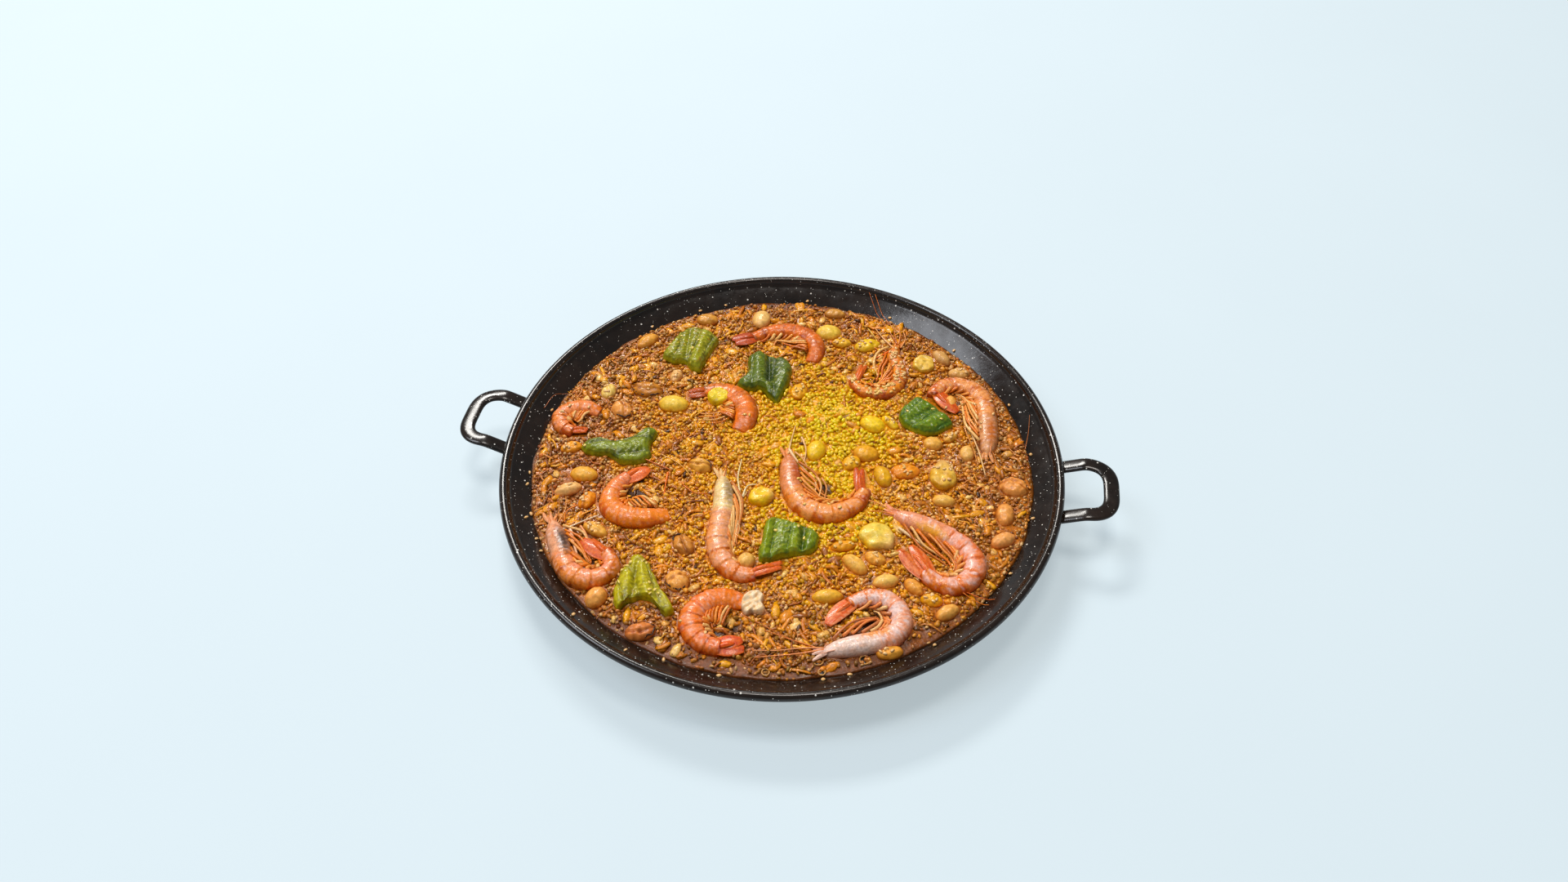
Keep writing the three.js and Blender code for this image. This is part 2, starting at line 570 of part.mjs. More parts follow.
// ---- the whole ----------------------------------------------------------------------------
const toppings = placedToppings();
const paella = new THREE.Group();
paella.add(named('pan', panGeometry(), ENAMEL, ENAMEL_ROUGHNESS));
paella.add(named('handle_right', handleGeometry(HANDLE_TURN), ENAMEL, ENAMEL_ROUGHNESS));
paella.add(named('handle_left', handleGeometry(HANDLE_TURN + 180), ENAMEL, ENAMEL_ROUGHNESS));
const rice = riceGeometry(toppings.map((topping) => topping.outline));
paella.add(named('rice', rice, RICE_COLOR, RICE_ROUGHNESS));
toppings.forEach(({ name, geometry, color }) => {
  paella.add(named(name, geometry, color, TOPPING_ROUGHNESS));
});
export default paella;
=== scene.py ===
"""The looks of a seafood paella in its two-handled enamelled pan.

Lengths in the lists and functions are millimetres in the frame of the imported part, and become metres
where a mesh is made. Angles are degrees. Every random draw comes from a seeded generator.
"""

import bpy
import numpy as np
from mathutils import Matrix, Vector
from mathutils.bvhtree import BVHTree


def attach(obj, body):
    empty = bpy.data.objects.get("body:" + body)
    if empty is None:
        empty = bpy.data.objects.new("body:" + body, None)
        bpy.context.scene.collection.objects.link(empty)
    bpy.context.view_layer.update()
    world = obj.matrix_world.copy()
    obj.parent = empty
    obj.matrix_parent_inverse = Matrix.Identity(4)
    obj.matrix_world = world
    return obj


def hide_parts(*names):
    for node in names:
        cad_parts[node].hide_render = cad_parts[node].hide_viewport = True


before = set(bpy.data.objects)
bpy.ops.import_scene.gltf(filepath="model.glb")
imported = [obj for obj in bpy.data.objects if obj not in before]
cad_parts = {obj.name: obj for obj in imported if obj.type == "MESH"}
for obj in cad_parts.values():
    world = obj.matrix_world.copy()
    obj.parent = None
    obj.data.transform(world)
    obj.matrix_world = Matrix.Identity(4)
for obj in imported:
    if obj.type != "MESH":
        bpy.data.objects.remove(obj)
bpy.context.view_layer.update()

MM = 0.001
TAU = 2 * np.pi
# how many times stronger each slot's colours are, how many times those of all others, and the cap on them
VIVID = {"prawn": 1.2, "rice": 1.2, "pepper": 1.3, "enamel": 1.0}
VIVID_REST, BRIGHTEST = 1.12, 0.78

# ---- sizes shared with the solids -------------------------------------------------------------
RIM_RADIUS, RIM_HEIGHT, BEAD_RADIUS = 275.7, 52.0, 4.2
SHEET, BASE_RADIUS = 1.8, 208.0
# radius and height of the foot of the wall's inside, of the point that its curve leans to, and of its top
WALL_CURVE = np.array([[216.0, 3.0], [236.0, 28.0], [268.0, 46.6]])
WALL_POINTS, BEAD_POINTS, PAN_ROUND = 28, 34, 256
STRAP_POINTS, STRAP_BEND, STRAP_ROUND, PAD_ROUND = 96, 14, 24, 48
FOOT_INSIDE, FOOT_OUTSIDE = 213.0, [217.5, 1.4]
BEAD_ARC = [-112.0, 172.0]
FOOD_EDGE_Z, FOOD_CROWN, FOOD_RADIUS = 34.5, 3.0, 248.0
FIT = 0.35  # gap between the toppings and the rice's smooth form
RAY_FROM = 99  # a height over everything
HANDLE_TURN = -9.3
HANDLE = dict(half_span=32.0, reach=319.0, root_x=244.0, root_z=29.5, grip_z=51.0, corner=24.0,
              half_width=7.5, half_height=2.8)
PAD = dict(width=26.0, height=15.0, radius=252.0, z=31.5)
PAD_LAYERS = ((1.0, -0.4), (1.0, 2.6), (0.96, 3.6), (0.86, 4.0), (0.4, 4.1))  # share of the size, thickness
WALL_OUT, WALL_DOWN = 0.62, 0.78  # the direction square to the wall where the pads are
ENAMEL_BLACK = 0x1D1A18
ENAMEL_TONES, ENAMEL_FILM, ENAMEL_SPECKS = (0x140E0B, 0x241811), 0x3A2C24, 0xD8D4CC

# ---- prawns: centre line from the tail to the head, half width, height, whether the head shows,
# the form of the tail, the colours of tail, body, lit body and head, a see-through patch on the head
# as share of the length, place across and colour, and how far in the legs may lie ---------------
PRAWNS = [
    dict(line=[(-198, 40), (-214, 41), (-226, 50), (-228, 62), (-219, 72), (-204, 75), (-189, 70)],
         wide=9.5, high=9.5, head=False, tail="strip", colours=(0xC6703D, 0xD6814C, 0xF19B73, 0xD97C3E)),
    dict(line=[(-53, 175), (-38, 179), (-24, 187), (-8, 193), (10, 193), (26, 186), (36, 173),
               (37, 159), (32, 145)],
         wide=10.5, high=10.5, head=False, tail="pair", colours=(0xA85A08, 0xB66006, 0xD67216, 0xB66206)),
    dict(line=[(-99, 94), (-86, 97), (-71, 98), (-57, 95), (-46, 87), (-39, 76), (-37, 63),
               (-39, 52), (-44, 42)],
         wide=12.5, high=10.5, head=False, tail="strip", colours=(0xA06010, 0xBE6A08, 0xF08228, 0xC46C50)),
    dict(line=[(84, 139), (76, 123), (79, 106), (92, 96), (109, 96), (121, 107), (126, 123),
               (124, 140), (121, 154), (127, 171)],
         wide=8.5, high=7, head=True, tail="strip", colours=(0xCB7C2A, 0xBA6A12, 0xDA8A46, 0xCC7E44)),
    dict(line=[(173, 66), (164, 76), (159, 89), (164, 101), (177, 108), (192, 106), (204, 97),
               (210, 83), (211, 66), (210, 46), (208, 26), (205, 8)],
         wide=11, high=10.5, head=True, tail="leaf", colours=(0xC0673C, 0xC97D4C, 0xE8A16E, 0xC9956E),
         window=(0.84, -0.3, 0xB8683C), room=15),
    dict(line=[(-133, -10), (-147, -19), (-159, -31), (-165, -46), (-164, -60), (-154, -70),
               (-140, -74), (-124, -73), (-108, -68)],
         wide=11, high=11, head=False, tail="leaf", colours=(0xD18061, 0xE18641, 0xF38F5E, 0xDF8835)),
    dict(line=[(1, -130), (-15, -136), (-31, -141), (-46, -136), (-56, -122), (-60, -104),
               (-59, -85), (-56, -65), (-56, -45), (-59, -22)],
         wide=11, high=10.9, head=True, tail="strip", colours=(0xD0743B, 0xEAA473, 0xF3AB87, 0xE2CB97),
         window=(0.86, 0.5, 0x8A7050), room=10),
    dict(line=[(77, -12), (81, -27), (79, -43), (72, -57), (59, -66), (44, -70), (28, -66),
               (16, -54), (10, -38), (8, -20), (6, 6)],
         wide=11, high=10.5, head=True, tail="strip", colours=(0xBD642D, 0xE8965A, 0xF2A36D, 0xCE8762),
         window=(0.84, 0.6, 0xA85030)),
    dict(line=[(-184, -98), (-172, -107), (-161, -117), (-156, -130), (-163, -141), (-178, -145),
               (-192, -138), (-201, -125), (-206, -109), (-213, -92), (-218, -76)],
         wide=10.5, high=10.5, head=True, tail="leaf", colours=(0xC57034, 0xD98851, 0xF39D7C, 0xDDA687),
         window=(0.8, 0.45, 0x1C1512)),
    dict(line=[(112, -110), (120, -124), (131, -140), (144, -151), (160, -152), (172, -143),
               (177, -129), (172, -113), (159, -100), (143, -89), (125, -79), (105, -68)],
         wide=11, high=11, head=True, tail="pair", colours=(0xD07A3C, 0xE4885E, 0xF2BCAC, 0xDC9878),
         window=(0.78, 0.6, 0xD89848)),
    dict(line=[(-33, -217), (-50, -218), (-66, -214), (-77, -203), (-80, -189), (-74, -177),
               (-62, -169), (-47, -167), (-34, -170)],
         wide=11.5, high=11.5, head=False, tail="pair", colours=(0xCA693F, 0xEA7F43, 0xF39B73, 0xE7843F)),
    dict(line=[(38, -193), (50, -182), (62, -171), (77, -165), (94, -168), (104, -181),
               (104, -197), (93, -208), (75, -213), (55, -217), (35, -222)],
         wide=10, high=10.5, head=True, tail="leaf", colours=(0xD87C40, 0xE8A688, 0xF4D2C8, 0xF6DCCE),
         window=(0.72, 0.5, 0xD88A4C)),
]
# share of the length, half width and height, both as shares of the thickest place
BODY_FORM = [(0.1, 0.42, 0.5), (0.13, 0.56, 0.62), (0.3, 0.8, 0.85), (0.5, 1, 1)]
HEAD_FORM = [(0.7, 0.97, 1), (0.82, 0.98, 0.98), (0.91, 0.85, 0.85), (0.97, 0.55, 0.6), (1, 0.2, 0.3)]
SUNK_FORM = [(0.74, 1, 0.98), (0.86, 0.95, 0.8), (0.95, 0.8, 0.46), (1, 0.6, 0.16)]
TAIL_ROOT = 0.19
SHELLS = 6
SHELL_FLARE = 0.04  # a segment's rear edge stands out over the next segment
LIP = 0.02
SHELL_SLANT, SHELL_ROUGH = 0.014, 0.22
LINE_POINTS, PRAWN_STATIONS, PRAWN_ROUND, OUTLINE_POINTS = 400, 130, 24, 60
PRAWN_SINK = 3.0
# painted highlight: the colour of the pale glints painted on the upper side of the prawns' shells
PAINTED_GLINT = 0xFCE4E0
DEEPER = np.array([0.68, 0.42, 0.32])  # what the shell's colour is multiplied by where it is deepest
# each leaf of a tail: spread to the side, length, half width, lift, sideways start
TAILS = {
    "pair": [(-0.07, 1.06, 0.66, 0.4, -2.2), (0.09, 1.0, 0.66, 1.8, 2.6), (0.02, 0.72, 0.26, 3.8, 0.4)],
    "leaf": [(-0.08, 0.86, 0.44, 0.2, -2.4), (0.03, 1.06, 0.8, 1.5, 0.8), (-0.02, 0.68, 0.24, 3.4, -0.6)],
    "strip": [(0.04, 1.04, 0.42, 0.6, 1.4), (-0.05, 0.98, 0.36, 1.2, -1.6), (0.0, 0.8, 0.24, 2.8, 0.0)],
}
# legs: share of the length where the first and the last start, count, share of the length that they
# run back, how far in they lie as shares of the room inside the curl, and half thickness
LEGS = [dict(start=0.3, end=0.62, count=6, run=0.13, depths=(0.2, 0.34), thick=1.9),
        dict(start=0.66, end=0.93, count=7, run=0.4, depths=(0.22, 0.92), thick=1.55)]
LEG_ROOM = 19.0  # legs of a straight prawn lie no further in than this
LEG_COLOURS = (0xE49C5E, 0xCE7438, 0xEEC488, 0xA8602E)

# ---- feelers and loose legs, as half thickness, colour and points on the plan -----------------
FEELER_POINTS = 30
FEELERS = [
    (0.6, 0xC8743C, [(-57, -26), (-55, -6), (-60, 6)]),
    (0.6, 0xD89458, [(-60, -26), (-64, -8), (-58, 12)]),
    (1.3, 0xE8D0A0, [(-50, -30), (-41, -46), (-43, -26), (-40, 0)]),
    (1.2, 0xEBD8B0, [(-38, -50), (-33, -36), (-24, -33)]),
    (0.9, 0xD8B888, [(-44, -56), (-36, -48), (-33, -40)]),
    (1.4, 0xE6C8A0, [(-46, -66), (-42, -78), (-44, -92)]),
    (1.1, 0xC89868, [(-50, -74), (-40, -86), (-42, -98)]), (1.0, 0xE0B888, [(6, 6), (9, 22), (14, 48)]),
    (1.7, 0xE8C49A, [(7, 12), (14, -2), (26, -20)]), (1.2, 0xDDB080, [(20, 29), (24, 12), (22, -4)]),
    (1.0, 0xD8A070, [(13, 9), (20, 0), (26, -12)]), (1.6, 0xE6BC8C, [(27, -20), (33, -34), (30, -50)]),
    (1.5, 0xDCA874, [(33, -22), (38, -36), (35, -52)]),
    (1.3, 0xC88A58, [(39, -26), (43, -38), (41, -52)]),
    (0.6, 0xB86A3C, [(-219, -76), (-224, -60), (-222, -44), (-226, -32)]),
    (0.7, 0xD08850, [(-216, -78), (-213, -66), (-215, -50)]),
    (0.7, 0xD89860, [(-213, -82), (-207, -62), (-209, -46)]),
    (1.1, 0xEBD0B0, [(-211, -90), (-198, -84), (-186, -77), (-174, -70)]),
    (1.5, 0xEFD8BC, [(-211, -91), (-204, -97), (-196, -103)]),
    (2.0, 0xE8B898, [(-199, -88), (-194, -104), (-188, -121)]),
    (1.3, 0xD89468, [(-190, -84), (-182, -98), (-180, -116)]),
    (0.9, 0xE09860, [(105, -68), (96, -60), (82, -52)]),
    (0.9, 0xD88850, [(108, -72), (96, -68), (84, -66)]),
    (1.7, 0xF0CCA0, [(110, -88), (120, -98), (132, -108)]),
    (0.6, 0xC86830, [(163, -158), (176, -165), (190, -168)]),
    (0.6, 0xD07838, [(158, -156), (172, -168), (184, -174)]),
    (0.9, 0xE09060, [(36, -220), (14, -224), (-8, -226), (-24, -227)]),
    (0.8, 0xE8A070, [(36, -218), (16, -219), (-4, -221), (-26, -220)]),
    (0.7, 0xC87848, [(30, -218), (8, -210), (-8, -203), (-22, -197)]),
    (0.6, 0xC07040, [(-36, -184), (-20, -193), (0, -205), (24, -217)]),
    (1.0, 0xDDA468, [(196, 76), (198, 50), (202, 22), (205, -4)]),
    (1.2, 0xE8C090, [(192, 66), (192, 40), (197, 10), (200, -20)]),
    (0.9, 0xC88850, [(187, 60), (187, 38), (192, 14), (194, -8)]),
    (0.9, 0xB8703C, [(200, 60), (204, 34), (212, 4), (211, -16)]),
    (0.6, 0xA85A34, [(127, 171), (118, 196), (108, 222), (100, 246), (96, 259)]),
    (0.6, 0xB8683C, [(126, 172), (124, 196), (112, 226), (104, 252)]),
    (0.8, 0xD89060, [(128, 172), (131, 190), (128, 206)]),
    (0.9, 0xE0A070, [(130, 166), (136, 180), (135, 196)]),
    (1.0, 0xE8B080, [(124, 162), (112, 180), (104, 200)]),
    (1.2, 0xE0703C, [(120, 162), (108, 152), (94, 144)]),
    (1.0, 0xE89058, [(122, 158), (112, 158), (100, 168)]),
    (0.7, 0xD8B060, [(96, 198), (104, 180), (106, 168)]),
    (0.9, 0xC87038, [(-150, 8), (-128, -4), (-108, -14)]),
    (1.2, 0xE07830, [(-112, -18), (-113, -32), (-114, -46)]),
    (0.7, 0xD8A060, [(-122, 8), (-100, -8), (-84, -30)]),
    (0.7, 0xC87038, [(-96, -34), (-84, -44), (-70, -44)]),
    (1.1, 0xE8A468, [(-50, 74), (-66, 64), (-84, 64), (-88, 76)]),
    (1.1, 0xE09050, [(-50, 70), (-68, 59), (-86, 60)]),
    (1.0, 0xEBB478, [(-48, 66), (-66, 55), (-82, 55)]),
    (0.9, 0xD07C40, [(-48, 62), (-62, 51), (-76, 50)]),
    (0.5, 0x9A5A34, [(244, 15), (250, 36), (254, 58)]),
    (0.5, 0x8A5030, [(-246, 70), (-236, 92), (-216, 98)]),
    (0.9, 0xD88038, [(-196, -58), (-206, -66), (-206, -78)]),
    (0.8, 0xE09848, [(-178, -62), (-192, -72), (-200, -84)]),
]
# painted shade: dark places inside the curls, where shade falls, and bubbles in the broth, as x, y, radius
SHADED_HOLLOWS = [
    (-212, 57, 8), (-143, -46, 15), (-177, -124, 13), (-60, -203, 8), (-46, -195, 13), (133, -113, 14),
    (188, 76, 11), (40, -40, 12), (78, -190, 16), (8, 172, 9), (100, 120, 10), (-62, 70, 7),
]
BUBBLES = [
    (71, -228, 4.2), (31, -229, 4.4), (119, -184, 3.0), (-14, -240, 3.2), (34, -240, 3.0),
    (-60, -203, 4.6),
]

# ---- pieces of green pepper: outline, height, heading of the ribs, rib spacing, blisters, colours of the
# skin and of its dark tone with the painted shade in the creases, and folds as two ends, half width and rise
# ----
PEPPERS = [
    dict(outline=[(-95, 197), (-110, 192), (-119, 176), (-129, 151), (-118, 144), (-104, 141), (-97, 131),
                  (-88, 129), (-82, 146), (-74, 165), (-70, 180), (-80, 190)],
         high=11, ribs=78, pitch=17, blister=0.7, skin=0x8E8C2E, deep_and_shade=0x565612,
         folds=[((-86, 190), (-93, 138), 6, 2.2), ((-112, 184), (-116, 152), 6, 1.5),
                ((-101, 190), (-104, 146), 3, -2.6)]),
    dict(outline=[(-27, 155), (-36, 149), (-37, 122), (-47, 106), (-38, 98), (-22, 99), (-13, 88), (-6, 81),
                  (2, 94), (8, 112), (10, 134), (3, 146), (-10, 148)],
         high=11, ribs=88, pitch=24, blister=0.1, skin=0x5A661C, deep_and_shade=0x2E3A08,
         folds=[((-27, 152), (-27, 114), 8, 4.2), ((-14, 150), (-14, 108), 3, -5),
                ((-2, 92), (4, 120), 7, 1.5), ((-40, 104), (-14, 102), 4, 1.5)]),
    dict(outline=[(-202, 18), (-192, 27), (-175, 24), (-160, 26), (-146, 32), (-132, 43), (-127, 37),
                  (-132, 20), (-131, 4), (-143, -5), (-160, -3), (-173, 6), (-190, 8)],
         high=10, ribs=8, pitch=18, blister=0.15, skin=0x78803A, deep_and_shade=0x424A0E,
         folds=[((-160, 14), (-140, 22), 7, 2), ((-165, 22), (-140, 34), 3, -1.6),
                ((-198, 16), (-172, 16), 5, 1)]),
    dict(outline=[(120, 59), (129, 76), (141, 87), (151, 80), (163, 67), (175, 50), (162, 39), (145, 35),
                  (129, 44)],
         high=9.5, ribs=38, pitch=19, blister=0.1, skin=0x667A2A, deep_and_shade=0x38500E,
         folds=[((126, 56), (146, 78), 3.5, 2.2), ((132, 50), (158, 70), 3, -1.8),
                ((142, 42), (166, 56), 5, 1.8)]),
    dict(outline=[(-20, -126), (-19, -100), (-12, -77), (5, -80), (20, -86), (34, -96), (31, -113),
                  (18, -118), (0, -121)],
         high=10.5, ribs=82, pitch=14, blister=0.15, skin=0x7E8A26, deep_and_shade=0x44560E,
         folds=[((20, -88), (18, -114), 2.6, -4), ((-13, -84), (-16, -120), 4, 1),
                ((10, -84), (8, -116), 4, 1.6)]),
    dict(outline=[(-136, -119), (-127, -121), (-117, -139), (-109, -157), (-96, -179), (-101, -184),
                  (-115, -171), (-126, -167), (-138, -170), (-146, -178), (-151, -166), (-150, -148),
                  (-143, -131)],
         high=10.5, ribs=-72, pitch=15, blister=0.4, skin=0xB2A636, deep_and_shade=0x746E18,
         folds=[((-132, -124), (-146, -170), 4, 1.6), ((-130, -128), (-120, -166), 4, 1.8),
                ((-131, -130), (-134, -168), 2.6, -2.4)]),
]
PEPPER_POINTS, PEPPER_RINGS = 120, 40
# blisters, pale flecks that are painted oil highlights and specks of rice, and the pale cut edge
PEPPER_BLISTER, PEPPER_SPECK_AND_GLINT, PEPPER_EDGE = 0x9A7A34, 0xD6CE7E, 0xB8B45C
PEPPER_FORM = [(0, 1), (0.42, 1), (0.8, 0.95), (0.94, 0.72), (1, 0.2)]

# ---- ovals: x, y, length, width, heading, height, colour --------------------------------------
BEANS = [
    (-148, 180, 27, 17, 40, 7, 0xD1954B), (-84, 216, 25, 18, -10, 6, 0xC28A46),
    (-23, 216, 30, 20, 85, 7.5, 0xE9BC77), (-113, 80, 34, 21, -10, 8, 0xEDC55A),
    (52, 193, 28, 23, -20, 8, 0xE5BF5C), (173, 152, 27, 15, -55, 7, 0xC1925A),
    (176, 82, 21, 13, 85, 6.5, 0xDCA25A), (93, 50, 29, 20, -30, 7, 0xE9C442),
    (152, 23, 21, 17, -20, 7.5, 0xE0A959), (185, 10, 20, 15, 80, 7, 0xEAB66C),
    (34, 13, 27, 20, 85, 7.5, 0xF0C414), (84, 9, 28, 20, -20, 7, 0xD0960F),
    (99, -21, 27, 18, -70, 7, 0xCF9B39), (156, -52, 23, 14, 0, 6.5, 0xE4B160),
    (213, -68, 27, 18, 75, 7, 0xD39152), (207, -99, 25, 16, 25, 7, 0xF1AB6A),
    (67, -128, 27, 16, -45, 7.5, 0xF1BA63), (94, -147, 25, 14, 15, 7, 0xF2C471),
    (41, -164, 28, 15, 5, 8, 0xF3BA55), (119, -153, 22, 13, -45, 6.5, 0xDC994F),
    (147, -180, 25, 13, 30, 7, 0xF3B365), (-195, -17, 27, 19, -10, 7.5, 0xF3B558),
    (-208, -36, 26, 15, 15, 6.5, 0xF0BB7A), (-33, -125, 19, 17, 20, 8.5, 0xD7A65F),
    (-167, -164, 22, 20, 70, 9, 0xF3AC63), (60, 226, 24, 15, 0, 5.5, 0xBD8847),
]
MUSSELS = [
    (-142, 102, 36, 20, -10, 7, 0xB97936), (-166, 72, 27, 20, -60, 7.5, 0xDD9856),
    (-81, -7, 25, 18, -30, 7, 0xD99E4E), (-92, -105, 27, 17, -50, 7, 0xC48445),
    (-95, -146, 24, 22, 0, 7.5, 0xE9A55C), (-124, -200, 27, 18, 15, 7.5, 0xC87B49),
    (226, -33, 30, 22, -15, 7.5, 0xE69C5A),
]
SLICES = [(-66, 87, 23, 20, 0, 12, 0xF3D84A), (153, 141, 25, 23, 0, 7, 0xDEB760)]
CHUNKS = [
    (90, -97, 36, 30, -40, 9, 0xF3D46E), (158, -20, 38, 27, 80, 8, 0xD7AD58),
    (-20, -48, 25, 22, 10, 8, 0xF3CA40),
]
HALF_COVERED = [
    (-113, 123, 20, 13, 80, 5, 0xD4A468), (-183, 100, 24, 15, 80, 5.5, 0xE2C070),
    (66, 176, 22, 14, 0, 5, 0xDDAA48), (134, -167, 22, 13, -10, 5, 0xDFA040),
    (-188, -50, 22, 16, 60, 5.5, 0xD98A2C), (111, 53, 23, 12, -55, 5, 0xE2B834),
    (122, -14, 27, 20, 0, 5, 0xD98A2A), (18, 99, 24, 17, 80, 5, 0xE2A62C),
    (-212, 20, 22, 15, 20, 5, 0xDE9640), (-176, -86, 26, 15, -30, 5.5, 0xD8A050),
    (94, 172, 28, 20, 20, 5.5, 0xD8B03A), (190, 128, 24, 16, 10, 5, 0xC89A5C),
    (57, -107, 24, 12, 5, 5, 0xD9963A),
    (171, 33, 18, 12, 40, 4.5, 0xCF9A4C), (93, -221, 25, 13, 12, 5.5, 0xE0A050),
    (69, -3, 20, 17, 60, 5, 0xE0A838), (86, -121, 20, 15, -20, 5, 0xDDA050),
]
# the pale broken end of prawn 11
FLESH = [
    (-35, -166), (-29, -160), (-21, -159), (-16, -165), (-18, -172), (-15, -179), (-21, -184),
    (-27, -181), (-31, -184), (-36, -177),
]
FLESH_HIGH, FLESH_COLOUR = 7.0, 0xF6E0C0
FRILL_COLOUR, SLICE_MIDDLE, CHUNK_END = 0x3A2216, 0x8A6A1C, 0xD0A070
OVAL_POINTS, OVAL_RINGS, FRILL_POINTS, FLESH_POINTS = 40, 12, 60, 60
EDGE_WAVE = 0.05
DOME_SKIRT, PEPPER_SKIRT = ([0.94, 1.0], [-2.6, -0.8]), ([0.96, 1.0], [-2.6, -0.6])  # rings under the rice
# the domes' forms: share of the way to the edge, and of the height
BEAN_FORM = [(0, 1), (0.3, 0.97), (0.6, 0.83), (0.8, 0.62), (0.92, 0.38), (1, 0.12)]
CHUNK_FORM = [(0, 1), (0.5, 0.94), (0.8, 0.8), (0.93, 0.6), (1, 0.2)]
SLAB_FORM = [(0, 0.86), (0.5, 0.9), (0.8, 1), (0.93, 0.86), (1, 0.4)]
SLICE_FORM = [(0, 1), (0.75, 0.97), (0.9, 0.84), (1, 0.35)]

# ---- rice: colours over the plan as x, y, reach along x and y, strength, colour ---------------
RICE_BASE, RICE_EDGE = 0xD8984A, 0xA26A46
RICE_TINTS = [
    (10, 0, 150, 200, 0.7, 0xE2A23E), (20, 30, 90, 130, 0.75, 0xE8AC30), (-20, 40, 60, 50, 0.6, 0xEAB42E),
    (-90, 28, 46, 34, 0.6, 0xECB030), (14, -84, 60, 30, 0.5, 0xECB840), (20, -126, 90, 24, 0.5, 0xECAC48),
    (46, 56, 62, 64, 0.97, 0xF6D81E), (48, 16, 44, 40, 0.75, 0xFAE020), (28, -42, 38, 66, 0.9, 0xF2CE20),
    (62, -84, 46, 20, 0.8, 0xF0CC34), (-150, 130, 90, 70, 0.7, 0xC08C58),
    (-205, 0, 50, 90, 0.8, 0x9A644A), (-140, -200, 90, 50, 0.6, 0xAA6C40),
    (0, -225, 130, 26, 0.75, 0xA06840), (20, -192, 60, 24, 0.55, 0xB07848),
    (215, 40, 40, 120, 0.7, 0xCC9464), (200, -60, 50, 60, 0.6, 0xBC8048),
    (20, -152, 44, 24, 0.6, 0xECAA3C), (60, 215, 120, 30, 0.5, 0xC8884C),
    (-60, 215, 100, 30, 0.4, 0xCE9252),
]
GRAIN_PALE, GRAIN_LEMON = 0xF6CE9A, 0xF8CC40
BED_BROWN, BED_GOLD = 0x985420, 0xC87E16  # between the grains, in the brown and the yellow regions
# painted shade in the hollows inside the curls, the broth's colour, and painted shade at the wall
HOLLOW_SHADE_COLOUR, BROTH_COLOUR, WALL_SHADE = 0x2A150C, 0x5E3212, 0x4A2812
GRAIN_LENGTH, GRAIN_WIDTH, GRAIN_STEP, LOOSE_STEP = 4.6, 3.2, 3.8, 5.8
GRAIN_RINGS = [(-0.34, 0.7), (0.0, 1.0), (0.34, 0.7)]
GRAIN_ROUND = 5
PLUMPER, THINNER = 0.42, 0.3  # grains are this much larger and fewer in the yellow rice
SEED = 11
FULL_LAYER, LOOSE_LAYER, LAYER_SPREAD = -0.25, 1.35, 0.6  # heights of the grains' middles over the relief
CORE_RINGS, CORE_ROUND = 90, 240
CORE_LEVELS, CORE_FLOOR = (26.0, 14.0, 6.0, SHEET + 0.5), (200.0, 60.0)  # heights and radii of its rings
# grains or seeds that lie on each piece
ON_TOP = {
    "prawn_1": 4, "prawn_3": 3, "prawn_4": 90, "prawn_5": 5, "prawn_8": 6, "prawn_11": 2, "pepper_1": 5,
    "pepper_3": 2, "pepper_4": 3, "pepper_5": 3, "pepper_6": 11, "chunk_2": 10, "mussel_1": 3,
    "bean_23": 2, "half": 5,
}
SEED_COLOUR = 0xDCC878
GRAIN_FORMS = 6
COVER_HALF = 300  # half the side of the square that Cover keeps, in millimetres
# the holes' colour is painted shade for the dark inside of each bubble's hole
FROTH, FROTH_COLOUR, HOLE_SHADE_COLOUR = 0.75, 0xB98A58, 0x120B08  # of the rings round the bubbles
WALL_GRAINS = 20
STUCK = [(-240, -66), (-234, -77), (-243, -73), (-183, -187), (-134, -223)]  # grains further up the wall
# places where thick gold broth nearly covers the grains, as x, y, radius
GLAZE = [
    (62, 72, 17), (2, 140, 20), (28, 62, 13), (112, 96, 17), (20, 168, 15), (214, -86, 13),
    (196, -122, 13), (-86, 172, 14), (112, -76, 15), (20, -114, 12), (-208, -20, 16), (-60, 120, 14),
]

# ---- scraps among the rice --------------------------------------------------------------------
# kind: count, length range, share of the length in width, height, colours, and how much more of it
# lies away from the yellow middle
SCRAPS = {
    "scraps_amber": (250, (8, 18), 0.5, 4.2, (0xC47A34, 0xE8A84C), 0.6),
    "scraps_russet": (230, (7, 17), 0.4, 4.0, (0x8A5028, 0xBC7840), 1.0),
    "scraps_pale": (110, (7, 14), 0.6, 4.2, (0xCE9050, 0xEEC480), 0.9),
    "scraps_dark": (90, (4, 10), 0.45, 3.0, (0x3A2012, 0x6E4422), 0.8),
}
# curved shreds and strands: count, length range, half thickness range, height share, colours
STRANDS = {"shreds": (130, (13, 32), (1.3, 2.4), 0.55, (0xD48838, 0xE4A448, 0xB46C36, 0xC47E3C)),
           "strands": (260, (9, 26), (0.5, 1.1), 1.0, (0xA4603A, 0xC88450, 0xDEA050, 0x8A5030))}
YELLOW_MIDDLE = (38.0, 15.0, 55.0, 140.0)  # x, y, and the distances between which scraps become common
CRUMBS = dict(count=2300, size=(3.2, 7.0), away=0.93)
# heights over the relief, the ranges that are drawn from, and how far a strand's ends hang down
SCRAP_LIFT, STRAND_LIFT, STRAND_DROOP = 0.7, 2.2, 1.6
CRUMB_HEIGHT, SCRAP_HEIGHT, STRAND_HEIGHT = (-0.1, 1.4), (-0.4, 0.5), (-0.3, 0.8)

